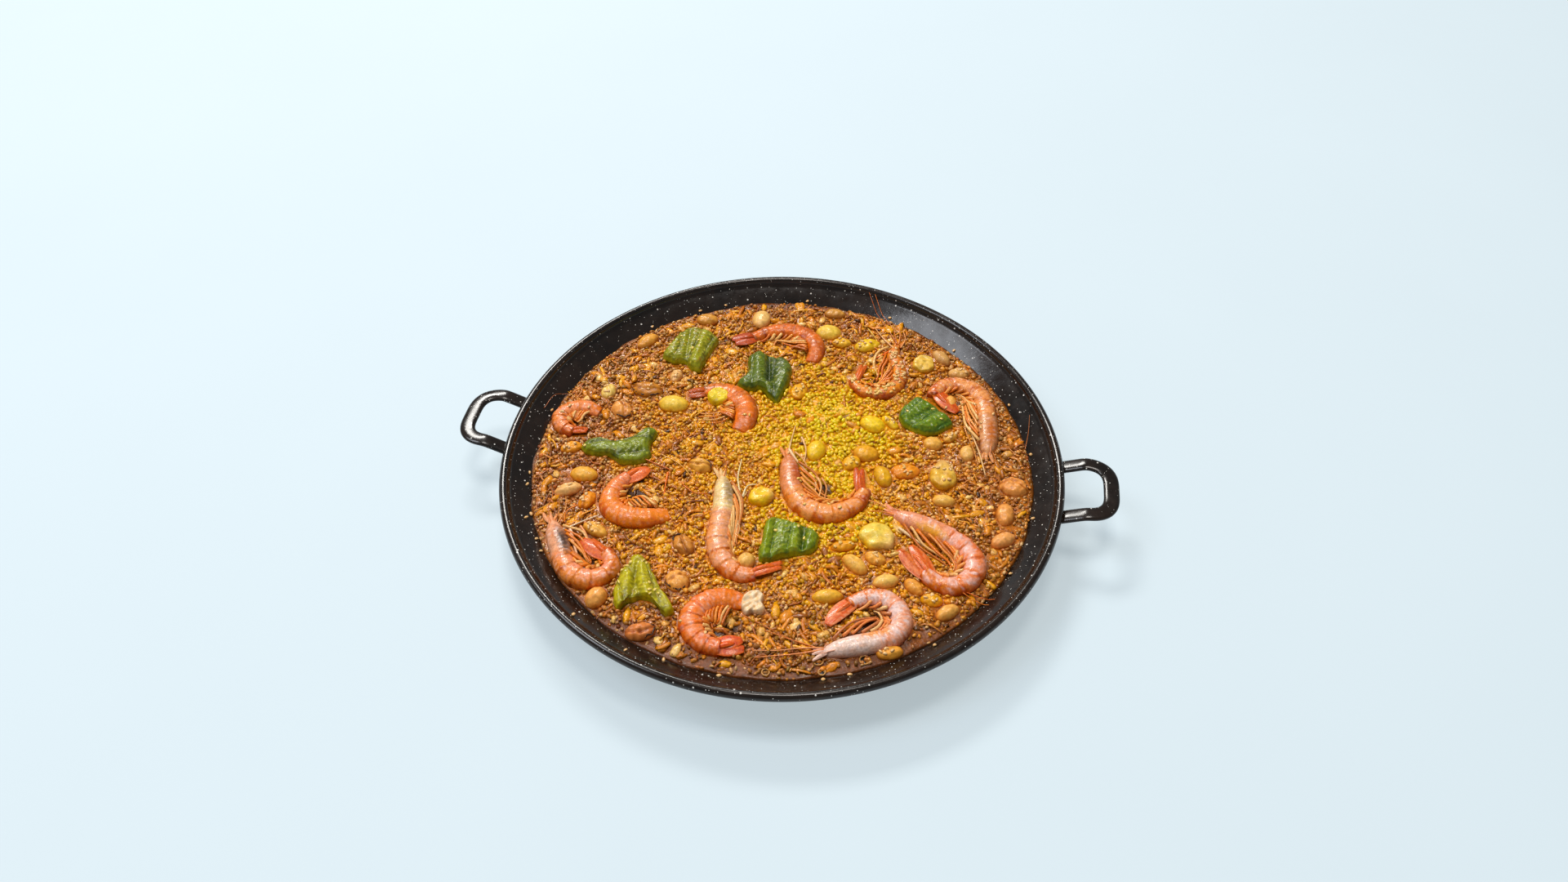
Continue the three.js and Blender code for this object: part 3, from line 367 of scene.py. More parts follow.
# ---- wet surfaces: roughness, coat, mottling and its width, and height of the bump ------------
WET = {"prawn_skin": (0.32, 0.22, 0.22, 2.0, 0.28), "pepper_skin": (0.34, 0.2, 0.24, 3.2, 0.3),
       "soft_food": (0.38, 0.16, 0.2, 3.0, 0.3), "rice_bed": (0.26, 0.15, 0.35, 2.6, 0.5),
       "rice_skin": (0.26, 0.3, 0.16, 1.6, 0.12), "scrap_skin": (0.3, 0.3, 0.25, 1.8, 0.25)}

# ---- studio, in metres ------------------------------------------------------------------------
CAMERA_TARGET = Vector((0, 0, 0.0478))
CAMERA_DISTANCE, CAMERA_RISE, LENS, SENSOR = 1.104, np.radians(47.5), 25.65, 36.0
PHOTO_WIDTH, PHOTO_HEIGHT, RIM_CENTRE = 1920, 1080, (957.5, 556.0)
LIGHTS = {"light_back": ((-1.0, 3.2, 3.4), (1.8, 0.7), 140, 0xFFFCF6),  # place, size, watts, colour
          "light_left": ((-2.4, 0.1, 3.5), (1.7, 1.7), 69, 0xF2F7FF),
          "light_top": ((0.1, 0.5, 4.7), (1.2, 1.2), 78, 0xFFF8F0)}
LIGHT_TARGET = (0, 0, 0.03)
WORLD_COLOUR, WORLD_STRENGTH = 0xE8F4FA, 0.225
FLOOR_COLOURS, FLOOR_GLOW, FLOOR_GLOW_STRENGTH = (0x929CA2, 0x949EA4), 0xEAF9FF, 0.49
FLOOR_DROP = 0.0002  # the floor lies this far under the pan
FLOOR_EDGE = [(15, 0), (16, 0.02), (17.5, 0.35), (18.6, 1.1), (19.2, 2.2), (19.4, 4.0)]  # radius, height


# ---- numbers, colours and noise ---------------------------------------------------------------
def rgb(code):
    """Linear colour of a hex code."""
    s = np.array([(code >> shift) & 255 for shift in (16, 8, 0)]) / 255
    return np.where(s <= 0.04045, s / 12.92, ((s + 0.055) / 1.055) ** 2.4)


def rgba(code):
    """The same with full opacity."""
    return (*rgb(code), 1)


def vivid(colour, strength):
    """The colour further from the grey of its own lightness, its hue kept where it is bright."""
    grey = (colour @ np.array([0.3, 0.6, 0.1]))[:, None]
    strong = np.maximum(grey + (colour - grey) * strength, 0.002)
    return strong / np.maximum(strong.max(1, keepdims=True) / BRIGHTEST, 1)


def mix(a, b, share):
    """From a to b, by a number or one number for each point."""
    share = np.asarray(share, float)[..., None]
    return np.asarray(a) * (1 - share) + np.asarray(b) * share


def blend(a, b, tone):
    """From a, where the tone is 0 or less, to b, where it is 1 or more."""
    return mix(a, b, np.clip(tone, 0, 1))


def ripple(x, y, size, seed, count=9):
    """Smooth unevenness from about -1 to 1, with swells about `size` apart."""
    rng = np.random.default_rng(seed)
    heading, shift = rng.uniform(0, TAU, (2, count))
    turns = TAU / size * rng.uniform(0.6, 1.4, count)
    x, y = np.asarray(x, float)[..., None], np.asarray(y, float)[..., None]
    waves = np.sin((x * np.cos(heading) + y * np.sin(heading)) * turns + shift)
    return waves.sum(-1) * 0.6 / np.sqrt(count / 2)


def steps(value, low, high):
    """0 below low, 1 above high, and smooth between them."""
    t = np.clip((np.asarray(value, float) - low) / (high - low), 0, 1)
    return t * t * (3 - 2 * t)


def unit(v):
    """Each vector at a length of 1."""
    return v / np.maximum(np.linalg.norm(v, axis=-1, keepdims=True), 1e-9)


def bell(u, v=0.0):
    """1 where both numbers are 0, and nearly 0 from 2 on."""
    return np.exp(-(u ** 2 + v ** 2))


def squarer(wave, power):
    """A sine or cosine with its size raised to a power, which makes a circle squarer."""
    return np.sign(wave) * np.abs(wave) ** power


def circle(count):
    """Angles in radians, evenly round a circle."""
    return np.arange(count) * TAU / count


def polar(radius, turn, z):
    """Points by distance from the axis, angle in radians and height."""
    return np.stack(np.broadcast_arrays(radius * np.cos(turn), radius * np.sin(turn), z), -1)


def local(px, py, x, y, turn):
    """Distances from x, y along and across a heading in radians."""
    c, s = np.cos(turn), np.sin(turn)
    return (px - x) * c + (py - y) * s, (py - y) * c - (px - x) * s


def turned(u, v, turn, x=0.0, y=0.0):
    """The place that lies u along and v across a heading from x, y."""
    c, s = np.cos(turn), np.sin(turn)
    return x + u * c - v * s, y + u * s + v * c


def food_z(x, y):
    """The height of the rice's smooth form."""
    return FOOD_EDGE_Z + FOOD_CROWN * (1 - (x * x + y * y) / FOOD_RADIUS ** 2)


def between(at, places, table):
    """A table's rows, which stand at the given places, read between them."""
    return np.stack([np.interp(at, places, column) for column in table.T], -1)


def evenly(line, count, endpoint=True):
    """Points at equal steps along a line of points."""
    length = np.r_[0, np.cumsum(np.linalg.norm(np.diff(line, axis=0), axis=1))]
    return between(np.linspace(0, length[-1], count, endpoint=endpoint), length, line)


def bend(start, pull, end, count):
    """Points on the curve from start to end that a third point pulls towards itself."""
    t = np.linspace(0, 1, count)[:, None]
    return start * (1 - t) ** 2 + pull * 2 * t * (1 - t) + end * t ** 2


def smooth_line(points, count, closed=False):
    """Evenly spaced points on the centripetal curve through the given ones."""
    p = np.asarray(points, float)
    p = np.vstack([p[-1:], p, p[:2]]) if closed else np.vstack([2 * p[0] - p[1], p, 2 * p[-1] - p[-2]])
    u = np.linspace(0, 1, 24, endpoint=False)[:, None]
    fine = []
    for a, b, c, d in zip(p[:-3], p[1:-2], p[2:-1], p[3:]):
        ab, bc, cd = (np.linalg.norm(q) ** 0.5 for q in (b - a, c - b, d - c))
        start = bc * ((b - a) / ab - (c - a) / (ab + bc)) + (c - b)
        end = bc * ((d - c) / cd - (d - b) / (bc + cd)) + (c - b)
        square, cube = 3 * (c - b) - 2 * start - end, start + end - 2 * (c - b)
        fine.append(b + start * u + square * u ** 2 + cube * u ** 3)
    return evenly(np.vstack(fine + [p[-2]]), count, endpoint=not closed)


# ---- shapes -----------------------------------------------------------------------------------
def quads(rows, around, closed=False):
    """Faces between neighbouring rings of points, and if closed between the last and the first."""
    k = np.arange(around)
    n = (k + 1) % around
    row = np.arange(rows if closed else rows - 1)[:, None] * around
    after = (row + around) % (rows * around)
    return np.stack([row + k, row + n, after + n, after + k], -1).reshape(-1, 4)


def skin(rings):
    """Points and faces of a closed skin over rings of points, with a pole at each end."""
    rows, around = rings.shape[:2]
    points = np.vstack([rings[0].mean(0), rings.reshape(-1, 3), rings[-1].mean(0)])
    k = np.arange(around)
    n = (k + 1) % around
    last = (rows - 1) * around + 1
    near = np.stack([0 * k, n + 1, k + 1], -1)
    far = np.stack([0 * k + len(points) - 1, last + k, last + n], -1)
    return points, [quads(rows, around) + 1, near, far]


def swept(path, flat, thick):
    """A closed skin along a path, whose section is flat sideways and thick upwards."""
    ahead = unit(np.gradient(path, axis=0))
    side = unit(np.cross(ahead, [0, 0, 1.0]))
    up = np.cross(side, ahead)
    return skin(path[:, None] + side[:, None] * flat[..., None] + up[:, None] * thick[..., None])


def tube(xy, z, wide, high, sides=6):
    """A closed round tube along a path, `wide` sideways and `high` upwards from its middle."""
    a = circle(sides)
    return swept(np.column_stack([xy, z]), np.cos(a) * wide[:, None], np.sin(a) * high[:, None])


def volume(points, faces):
    """Six times the volume inside, negative where the faces look inwards."""
    return sum(np.einsum("ij,ij->", points[f[:, 0]], np.cross(points[f[:, k - 1]], points[f[:, k]]))
               for f in faces for k in range(2, f.shape[1]))


class Shape:
    """Points, faces and colours of one piece, gathered part by part."""

    def __init__(self):
        self.points, self.faces, self.paint, self.count = [], [], [], 0

    def add(self, part, paint):
        points, faces = part
        if volume(points, faces) < 0:
            faces = [f[:, ::-1] for f in faces]
        self.faces += [f + self.count for f in faces]
        self.points.append(points)
        self.paint.append(np.broadcast_to(paint, (len(points), 3)))
        self.count += len(points)

    def top(self, x, y):
        """Heights of the piece's upper surface, and 0 where it isn't."""
        down = Vector((0, 0, -1))
        faces = [list(q) for f in self.faces for q in f.tolist()]
        tree = BVHTree.FromPolygons(np.vstack(self.points).tolist(), faces)
        hits = [tree.ray_cast(Vector((px, py, RAY_FROM)), down)[0] for px, py in zip(x, y)]
        return np.array([hit.z if hit else 0.0 for hit in hits])

    def piece(self, name, material, slot, *nodes):
        """The Blender object, riding on the part's one body."""
        points = np.vstack(self.points)
        sizes = np.concatenate([np.full(len(f), f.shape[1]) for f in self.faces])
        corners = np.concatenate([f.ravel() for f in self.faces])
        mesh = bpy.data.meshes.new(name)
        mesh.vertices.add(len(points))
        mesh.vertices.foreach_set("co", (points * MM).astype(np.float32).ravel())
        mesh.loops.add(len(corners))
        mesh.loops.foreach_set("vertex_index", corners.astype(np.int32))
        mesh.polygons.add(len(sizes))
        mesh.polygons.foreach_set("loop_start", (np.cumsum(sizes) - sizes).astype(np.int32))
        mesh.polygons.foreach_set("use_smooth", np.ones(len(sizes), bool))
        mesh.update(calc_edges=True)
        colour = mesh.color_attributes.new("Paint", "FLOAT_COLOR", "POINT")
        paint = vivid(np.vstack(self.paint), VIVID.get(slot, VIVID_REST))
        opaque = np.hstack([paint, np.ones((len(points), 1))])
        colour.data.foreach_set("color", opaque.astype(np.float32).ravel())
        mesh.materials.append(material)
        piece = added(name, mesh)
        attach(piece, "root")
        if nodes:
            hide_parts(*nodes)


def added(name, data):
    """A new object in the scene."""
    made = bpy.data.objects.new(name, data)
    bpy.context.scene.collection.objects.link(made)
    return made


# ---- materials --------------------------------------------------------------------------------
class Nodes:
    """A material's nodes, with short calls to make and link them."""

    def __init__(self, name):
        self.material = bpy.data.materials.new(name)
        self.material.use_nodes = True
        self.tree = self.material.node_tree
        self.shader = self.tree.nodes["Principled BSDF"]
        self.place = self.node("ShaderNodeTexCoord").outputs["Object"]

    def node(self, kind, **settings):
        made = self.tree.nodes.new(kind)
        for key, value in settings.items():
            setattr(made, key, value)
        return made

    def link(self, output, target):
        self.tree.links.new(output, target)

    def texture(self, kind, size, **settings):
        """A texture that rides on the piece, with features about `size` millimetres wide."""
        made = self.node(kind, **settings)
        self.link(self.place, made.inputs["Vector"])
        made.inputs["Scale"].default_value = 1 / (size * MM)
        return made

    def noise(self, size, detail=3.0):
        made = self.texture("ShaderNodeTexNoise", size)
        made.inputs["Detail"].default_value = detail
        made.inputs["Roughness"].default_value = 0.55
        return made.outputs["Fac"]

    def ranged(self, value, low, high, from_low=0.3, from_high=0.7):
        """A value from one range brought to another, from low to high."""
        made = self.node("ShaderNodeMapRange")
        self.link(value, made.inputs["Value"])
        numbers = {"From Min": from_low, "From Max": from_high, "To Min": low, "To Max": high}
        for key, number in numbers.items():
            made.inputs[key].default_value = number
        return made.outputs["Result"]

    def math(self, operation, a, b):
        made = self.node("ShaderNodeMath", operation=operation)
        self.link(a, made.inputs[0])
        self.link(b, made.inputs[1])
        return made.outputs[0]

    def mixed(self, a, b, share, how="MIX"):
        """Colour a mixed with b, where each is a socket or a plain colour and share a socket or a number."""
        made = self.node("ShaderNodeMix", data_type="RGBA", blend_type=how)
        for socket, value in ((made.inputs[0], share), (made.inputs[6], a), (made.inputs[7], b)):
            if isinstance(value, bpy.types.NodeSocket):
                self.link(value, socket)
            else:
                socket.default_value = value
        return made.outputs[2]

    def finish(self, colour, roughness=None, relief=None, depth=0.0, **sockets):
        """Link the colour, and if given the roughness and a relief `depth` millimetres deep."""
        self.link(colour, self.shader.inputs["Base Color"])
        if roughness:
            self.link(roughness, self.shader.inputs["Roughness"])
        if relief:
            bump = self.node("ShaderNodeBump")
            bump.inputs["Strength"].default_value = 1.0
            bump.inputs["Distance"].default_value = depth * MM
            self.link(relief, bump.inputs["Height"])
            self.link(bump.outputs["Normal"], self.shader.inputs["Normal"])
        for key, value in sockets.items():
            self.shader.inputs[key.replace("_", " ")].default_value = value
        return self.material


def wet_material(name):
    """Moist food: painted colour with mottling, and a wet coat."""
    roughness, coat, mottle, size, bump = WET[name]
    m = Nodes(name)
    paint = m.node("ShaderNodeAttribute", attribute_name="Paint").outputs["Color"]
    cloud = m.noise(size)
    grey = m.node("ShaderNodeCombineColor")
    for channel in grey.inputs:
        m.link(m.ranged(cloud, 1 - mottle, 1 + mottle), channel)
    return m.finish(m.mixed(paint, grey.outputs[0], 1.0, "MULTIPLY"),
                    m.ranged(m.noise(size * 2.3), roughness - 0.1, roughness + 0.12),
                    m.noise(size * 0.7, 4.0), bump,
                    Coat_Weight=coat, Coat_Roughness=0.1, Specular_IOR_Level=0.3)


def speck_mask(m, cell, radius, share):
    """1 on small round specks: one in `share` of the cells, `cell` millimetres apart."""
    cells = m.texture("ShaderNodeTexVoronoi", cell, feature="F1")
    split = m.node("ShaderNodeSeparateColor")
    m.link(cells.outputs["Color"], split.inputs[0])
    reach = m.ranged(split.outputs[0], 0.0, radius / cell, 1 - share, 1.0)
    return m.math("LESS_THAN", cells.outputs["Distance"], reach)


def enamel_material():
    """Black vitreous enamel with uneven white specks, and a brown film where the food was."""
    m = Nodes("enamel_speckled")
    base = m.mixed(*(rgba(code) for code in ENAMEL_TONES), m.ranged(m.noise(60.0), 0, 1))
    dull = m.mixed(base, rgba(ENAMEL_FILM), m.ranged(m.noise(9.0, 6.0), 0, 0.35, 0.5, 0.8))
    spots = m.math("MAXIMUM", speck_mask(m, 5.6, 0.95, 0.6), speck_mask(m, 2.4, 0.5, 0.5))
    return m.finish(m.mixed(dull, rgba(ENAMEL_SPECKS), spots), m.ranged(m.noise(14.0, 5.0), 0.14, 0.3),
                    m.noise(5.0, 2.0), 0.12, Coat_Weight=0.15, Coat_Roughness=0.08, Specular_IOR_Level=0.35)


def floor_material():
    m = Nodes("floor_pale")
    colour = m.mixed(*(rgba(code) for code in FLOOR_COLOURS), m.ranged(m.noise(400.0), 0, 1))
    return m.finish(colour, Roughness=0.8, Specular_IOR_Level=0.2, Emission_Color=rgba(FLOOR_GLOW),
                    Emission_Strength=FLOOR_GLOW_STRENGTH)


# ---- pan --------------------------------------------------------------------------------------
def wall_line(outside=False):
    """Radius and height of the wall's inside or outside, from the foot up."""
    line = bend(*WALL_CURVE, WALL_POINTS)
    ahead = unit(np.gradient(line, axis=0))
    return line + SHEET * np.stack([ahead[:, 1], -ahead[:, 0]], 1) if outside else line


def wall_radius(z, outside=False):
    line = wall_line(outside)
    return np.interp(z, line[:, 1], line[:, 0])


def wall_height(radius):
    """Height of the wall's inside, and 0 inside its foot."""
    line = wall_line()
    return np.where(radius > line[0, 0], np.interp(radius, line[:, 0], line[:, 1]), 0)


def pan_shape():
    a = np.radians(np.linspace(*BEAD_ARC, BEAD_POINTS))
    bead = np.stack([RIM_RADIUS - BEAD_RADIUS + BEAD_RADIUS * np.cos(a),
                     RIM_HEIGHT - BEAD_RADIUS + BEAD_RADIUS * np.sin(a)], 1)
    flat = [(40, 0), (150, 0), (BASE_RADIUS - 6, 0), (BASE_RADIUS, 0.05), (FOOT_INSIDE, 0.4)]
    floor = [(FOOT_INSIDE, SHEET + 0.35)] + [(r, SHEET) for r in (BASE_RADIUS, BASE_RADIUS - 6, 150, 40)]
    outside, inside = wall_line(outside=True)[1:-1], wall_line()[-2::-1]
    profile = np.vstack([flat, [FOOT_OUTSIDE], outside, bead, inside, floor])
    shape = Shape()
    shape.add(skin(polar(profile[:, :1], circle(PAN_ROUND), profile[:, 1:])), rgb(ENAMEL_BLACK))
    return shape


# ---- handles ----------------------------------------------------------------------------------
def handle_path():
    """The middle of the strap, from one root to the other."""
    h = HANDLE
    span, reach, corner = h["half_span"], h["reach"], h["corner"]
    start, turn = np.array([h["root_x"], -span, h["root_z"]]), np.array([reach - corner, -span, h["grip_z"]])
    knee, grip = np.array([reach, -span, h["grip_z"]]), np.array([reach, corner - span, h["grip_z"]])
    t = np.linspace(0, 1, STRAP_BEND)[:-1, None]
    half = np.vstack([start + (turn - start) * t, bend(turn, knee, grip, STRAP_BEND)])
    path = evenly(np.vstack([half, (half * [1, -1, 1])[::-1]]), STRAP_POINTS)
    for _ in range(3):
        path[1:-1] = (path[:-2] + 2 * path[1:-1] + path[2:]) / 4
    return path


def on_wall(points, stand):
    """Points that would lie in the sheet, moved out to `stand` off the wall's outside."""
    r = np.hypot(points[:, 0], points[:, 1])
    least = wall_radius(points[:, 2], outside=True) + stand
    scale = np.where(r < least, least / r, 1.0)
    return points * np.stack([scale, scale, np.ones_like(scale)], 1)


def strap():
    """The handle's bar: a flat strap with round edges."""
    a = circle(STRAP_ROUND)
    points, faces = swept(handle_path(), squarer(np.cos(a), 0.8) * HANDLE["half_width"],
                          squarer(np.sin(a), 0.8) * HANDLE["half_height"])
    return on_wall(points, -0.4), faces


def pad(side):
    """The plate that joins a leg to the wall, with round edges."""
    a = circle(PAD_ROUND)
    square = np.maximum(np.abs(np.cos(a)), np.abs(np.sin(a))) ** 0.75
    rings = []
    for share, out in PAD_LAYERS:
        u = share * PAD["width"] / 2 * np.cos(a) / square
        v = share * PAD["height"] / 2 * np.sin(a) / square
        z = PAD["z"] - 1.4 + v * 0.6
        turn = side * np.arcsin(HANDLE["half_span"] / PAD["radius"]) + u / PAD["radius"]
        rings.append(polar(wall_radius(z, outside=True) + out * WALL_OUT, turn, z - out * WALL_DOWN))
    return skin(np.array(rings))


def handle_shape(turn):
    shape = Shape()
    for points, faces in (strap(), pad(-1), pad(1)):
        x, y, z = points.T
        shape.add((np.stack([*turned(x, y, np.radians(turn)), z], 1), faces), rgb(ENAMEL_BLACK))
    return shape


# ---- prawns -----------------------------------------------------------------------------------
class Prawn:
    """The curve, section and colours of one prawn that lies on its side."""

    def __init__(self, line, wide, high, head, tail, colours, window=None, room=LEG_ROOM):
        self.line = smooth_line(line, LINE_POINTS)
        self.ahead = unit(np.gradient(self.line, axis=0))
        left = np.stack([-self.ahead[:, 1], self.ahead[:, 0]], 1)
        self.inward = left * np.sign(np.cross(self.ahead[:-1], self.ahead[1:]).sum())  # to the belly
        self.wide, self.high, self.head, self.tail = wide, high, head, tail
        self.window, self.room = window, room
        # light is the lit body's colour, towards which the shell's upper side is painted as painted light
        self.rear, self.middle, self.light, self.face = (rgb(code) for code in colours)
        self.form = np.array(BODY_FORM + (HEAD_FORM if head else SUNK_FORM))
        self.neck = HEAD_FORM[0][0] if head else SUNK_FORM[0][0]
        self.length = np.linalg.norm(np.diff(self.line, axis=0), axis=1).sum()

    def at(self, share, table):
        """The rows of one of the line's tables at shares of the length."""
        where = np.clip(np.asarray(share, float), 0, 1) * (len(self.line) - 1)
        return between(where, np.arange(len(self.line)), table)

    def half(self, share):
        """Half the width at shares of the length."""
        return self.wide * np.interp(share, self.form[:, 0], self.form[:, 1])

    def beside(self, share, across):
        """Points on the plan, `across` millimetres from the centre line towards the belly."""
        return self.at(share, self.line) + self.at(share, self.inward) * np.asarray(across)[..., None]

    def point(self, share, across, up):
        """A point across from the belly (1) to the back (-1), and `up` over the rice."""
        xy = self.beside(share, across * self.half(share))
        return np.concatenate([xy, (food_z(xy[..., 0], xy[..., 1]) + FIT + up)[..., None]], -1)

    def shell_share(self, share):
        """Where a place lies in its shell segment, from its rear edge, 0, to its front, 1."""
        return np.clip((share - TAIL_ROOT) / (self.neck - TAIL_ROOT), 0, 0.9999) * SHELLS % 1.0

    def outline(self):
        """The whole prawn's edge on the plan."""
        share = np.linspace(0, 1, OUTLINE_POINTS)
        half = self.half(share)
        return np.vstack([self.beside(share, half), self.beside(share, -half)[::-1]])


def shell(prawn, seed):
    """The body and head: rings across the prawn, each segment's rear edge over the next segment."""
    share = np.linspace(TAIL_ROOT - 0.02, 1, PRAWN_STATIONS)
    s, a = np.meshgrid(share, circle(PRAWN_ROUND), indexing="ij")
    across, side = squarer(np.cos(a), 0.9), np.sin(a)
    slant = s + SHELL_SLANT * side * (s < prawn.neck)
    within = prawn.shell_share(slant)
    body = slant < prawn.neck
    flare = np.where(body, SHELL_FLARE * (0.5 - within) * 2 + LIP * bell(within / 0.08),
                     SHELL_FLARE * bell((slant - prawn.neck) / 0.03))
    lobes = np.where(body, 0.1 * np.sin(np.pi * within) ** 0.6, 0) * np.clip(across, 0, 1) ** 2
    rise = prawn.high * np.interp(s, prawn.form[:, 0], prawn.form[:, 2])
    up = np.where(side > 0, rise * (1 + flare) * np.abs(side) ** 0.85, -PRAWN_SINK * np.abs(side))
    rings = prawn.point(s, across * (1 + flare + lobes), up)
    rings[..., 2] += SHELL_ROUGH * ripple(rings[..., 0], rings[..., 1], 6.0, seed)
    return skin(rings), shell_paint(prawn, s, across, side, within, body, seed)


def shell_paint(prawn, s, across, up, within, body, seed):
    """Mottled shell, deeper on the back and at the segments' edges, painted lighter on its upper side as
    painted light, with painted highlights (pale glints) on top.
    """
    along, wide = s * prawn.length, across * prawn.wide
    cloud = ripple(along, wide, 17.0, seed + 1)
    fine = ripple(along, wide, 4.5, seed + 2)
    band = bell(within / 0.09) + bell((within - 1) / 0.05)
    # painted light: the upper side of the shell is painted lighter
    tone = 0.5 + 0.3 * cloud + 0.24 * fine + 0.26 * np.clip(up, 0, 1) - 0.42 * band * body
    tone = tone - 0.34 * np.clip(-across, 0, 1) ** 2 + 0.12 * np.clip(across, 0, 1)
    base = mix(prawn.rear, prawn.middle, steps(s + 0.05 * cloud, TAIL_ROOT, 0.45))
    colour = blend(blend(base * DEEPER, base, tone * 2), prawn.light, tone * 2 - 1)
    streak = 0.5 + 0.5 * ripple(along * 0.25, wide, 3.6, seed + 3)
    # the head's own streaks, painted lighter towards its upper side as painted light
    face = blend(prawn.face * [0.78, 0.6, 0.5], prawn.face, streak + 0.3 * up)
    colour = mix(colour, face, steps(s, prawn.neck - 0.01, prawn.neck + 0.05) * (0.9 if prawn.head else 0.35))
    if prawn.window:
        place_s, place_across, code = prawn.window
        away = np.hypot((s - place_s) * prawn.length / 15, (across - place_across) * prawn.wide / 5)
        colour = mix(colour, rgb(code), np.clip(1.5 - away + 0.3 * fine, 0, 1) * 0.9)
    # painted highlights: pale glints on the upper side
    glint_highlight = steps(ripple(along, wide, 6.0, seed + 4) + 0.35 * fine, 0.55, 0.95) * np.clip(up, 0, 1) ** 1.5
    colour = mix(colour, rgb(PAINTED_GLINT), glint_highlight * (0.15 + 1.1 * prawn.light[2]))
    flat = colour.reshape(-1, 3)
    return np.vstack([flat[0], flat, flat[-1]])


def leaf(start, heading, length, wide, thick, lift, colours, seed=0):
    """A flat leaf with a ridge, as in the tail, from a point on the prawn: inside and rim colours."""
    count, sides = 20, 18
    t = np.linspace(0, 1, count)
    side = np.array([-heading[1], heading[0]])
    sway = 0.06 * length * np.sin(np.pi * t) * np.sin(seed)
    xy = start[:2] + np.outer(t * length, heading) + np.outer(sway, side)
    z = start[2] + lift * np.sin(np.pi * t * 0.75) - 0.4 * t
    form = np.sin(np.pi * np.clip(t * 0.74 + 0.17, 0, 1)) ** 0.7
    points, faces = tube(xy, z, wide * form, thick * (0.4 + 0.6 * form), sides)
    turn = np.tile(circle(sides), count)
    edge = np.r_[0, np.abs(np.cos(turn)) ** 5, 0]
    ridge = np.r_[0, np.clip(np.sin(turn), 0, 1) ** 8 * np.repeat(np.sin(np.pi * t), sides), 0]
    points[:, 2] += 0.7 * ridge
    streak = np.r_[0, np.sin(6 * turn + seed + 0.8 * np.repeat(np.sin(9 * t), sides)), 0]
    cloud = ripple(points[:, 0], points[:, 1], 3.2, seed + 8)
    return (points, faces), blend(*colours, edge * 0.6 + 0.3 * cloud + 0.25 * streak + 0.25 * ridge + 0.1)


def tail_fan(prawn, shape, seed):
    """Long leaves, which start at the tail's root and reach the end of the line."""
    reach = prawn.length * (TAIL_ROOT + 0.01)
    back, side = -prawn.at(TAIL_ROOT * 0.5, prawn.ahead), prawn.at(TAIL_ROOT * 0.5, prawn.inward)
    root = prawn.point(TAIL_ROOT + 0.02, 0.0, prawn.high * 0.25)
    inside, rim = prawn.rear * [0.74, 0.44, 0.24], mix(prawn.light, prawn.rear, 0.5) * [1.0, 0.86, 0.7]
    for k, (spread, long, wide, lift, offset) in enumerate(TAILS[prawn.tail]):
        start = root + np.r_[side * offset * prawn.wide / 11, 0]
        shape.add(*leaf(start, unit(back + side * spread), reach * long, prawn.wide * wide, 1.25, lift,
                        (inside * (1 + 0.15 * k), rim), seed + k))


def legs(prawn, shape, rng, start, end, count, run, depths, thick):
    """Legs that leave the belly and run back to the tail, nested inside the curl."""
    turning = np.arccos(np.clip((prawn.ahead[:-1] * prawn.ahead[1:]).sum(1), -1, 1)).sum()
    room = min(prawn.length / turning - prawn.wide, prawn.room)
    t = np.linspace(0, 1, 17)
    for k, share in enumerate(np.linspace(start, end, count) + rng.uniform(-0.01, 0.01, count)):
        depth = room * (depths[0] + (depths[1] - depths[0]) * k / (count - 1)) * rng.uniform(0.9, 1.1)
        back = share - run * rng.uniform(0.8, 1.15) * t
        inward = depth * np.sin(np.pi / 2 * steps(t, -0.1, 0.5)) - 0.12 * depth * t ** 4
        xy = prawn.beside(back, prawn.half(back) * 0.84 + inward)
        low = food_z(xy[:, 0], xy[:, 1]) + rng.uniform(1.6, 3.0)
        z = low + (prawn.high * 0.4) * (1 - steps(t, 0, 0.7))
        radius = thick * rng.uniform(0.8, 1.15) * (1 - 0.62 * t ** 2)
        paint = mix(rgb(LEG_COLOURS[(k + rng.integers(2)) % 4]), prawn.middle, 0.25)
        shape.add(tube(xy, z, radius, radius * 0.9), paint)


def head_parts(prawn, shape, seed):
    """The spike on the brow and the scales beside the mouth."""
    tip, brow = prawn.point(0.98, 0.0, prawn.high * 0.3), prawn.point(0.93, -0.35, prawn.high * 0.6)
    ahead, side = prawn.at(0.99, prawn.ahead), prawn.at(0.99, prawn.inward)
    t = np.linspace(0, 1, 9)
    spike = tube(brow[:2] + np.outer(t * 16, ahead), brow[2] + (np.sin(t * 2) - 2.5 * t),
                 1.5 * (1.05 - t), 1.1 * (1.05 - t))
    shape.add(spike, mix(prawn.face, prawn.rear, 0.5))
    colours = mix(prawn.face, prawn.middle, 0.6), prawn.face
    for k, spread in enumerate((-0.3, 0.0, 0.25)):
        start = tip + np.r_[side * spread * 8, -0.6 * k]
        shape.add(*leaf(start, unit(ahead + side * spread), 15 - 2 * k, 2.0, 0.7, 0.4, colours, seed + k))


def prawn_shape(prawn, seed):
    """The whole prawn in one piece."""
    shape, rng = Shape(), np.random.default_rng(seed)
    shape.add(*shell(prawn, seed))
    tail_fan(prawn, shape, seed)
    for group in LEGS:
        legs(prawn, shape, rng, **group)
    if prawn.head:
        head_parts(prawn, shape, seed)
    return shape


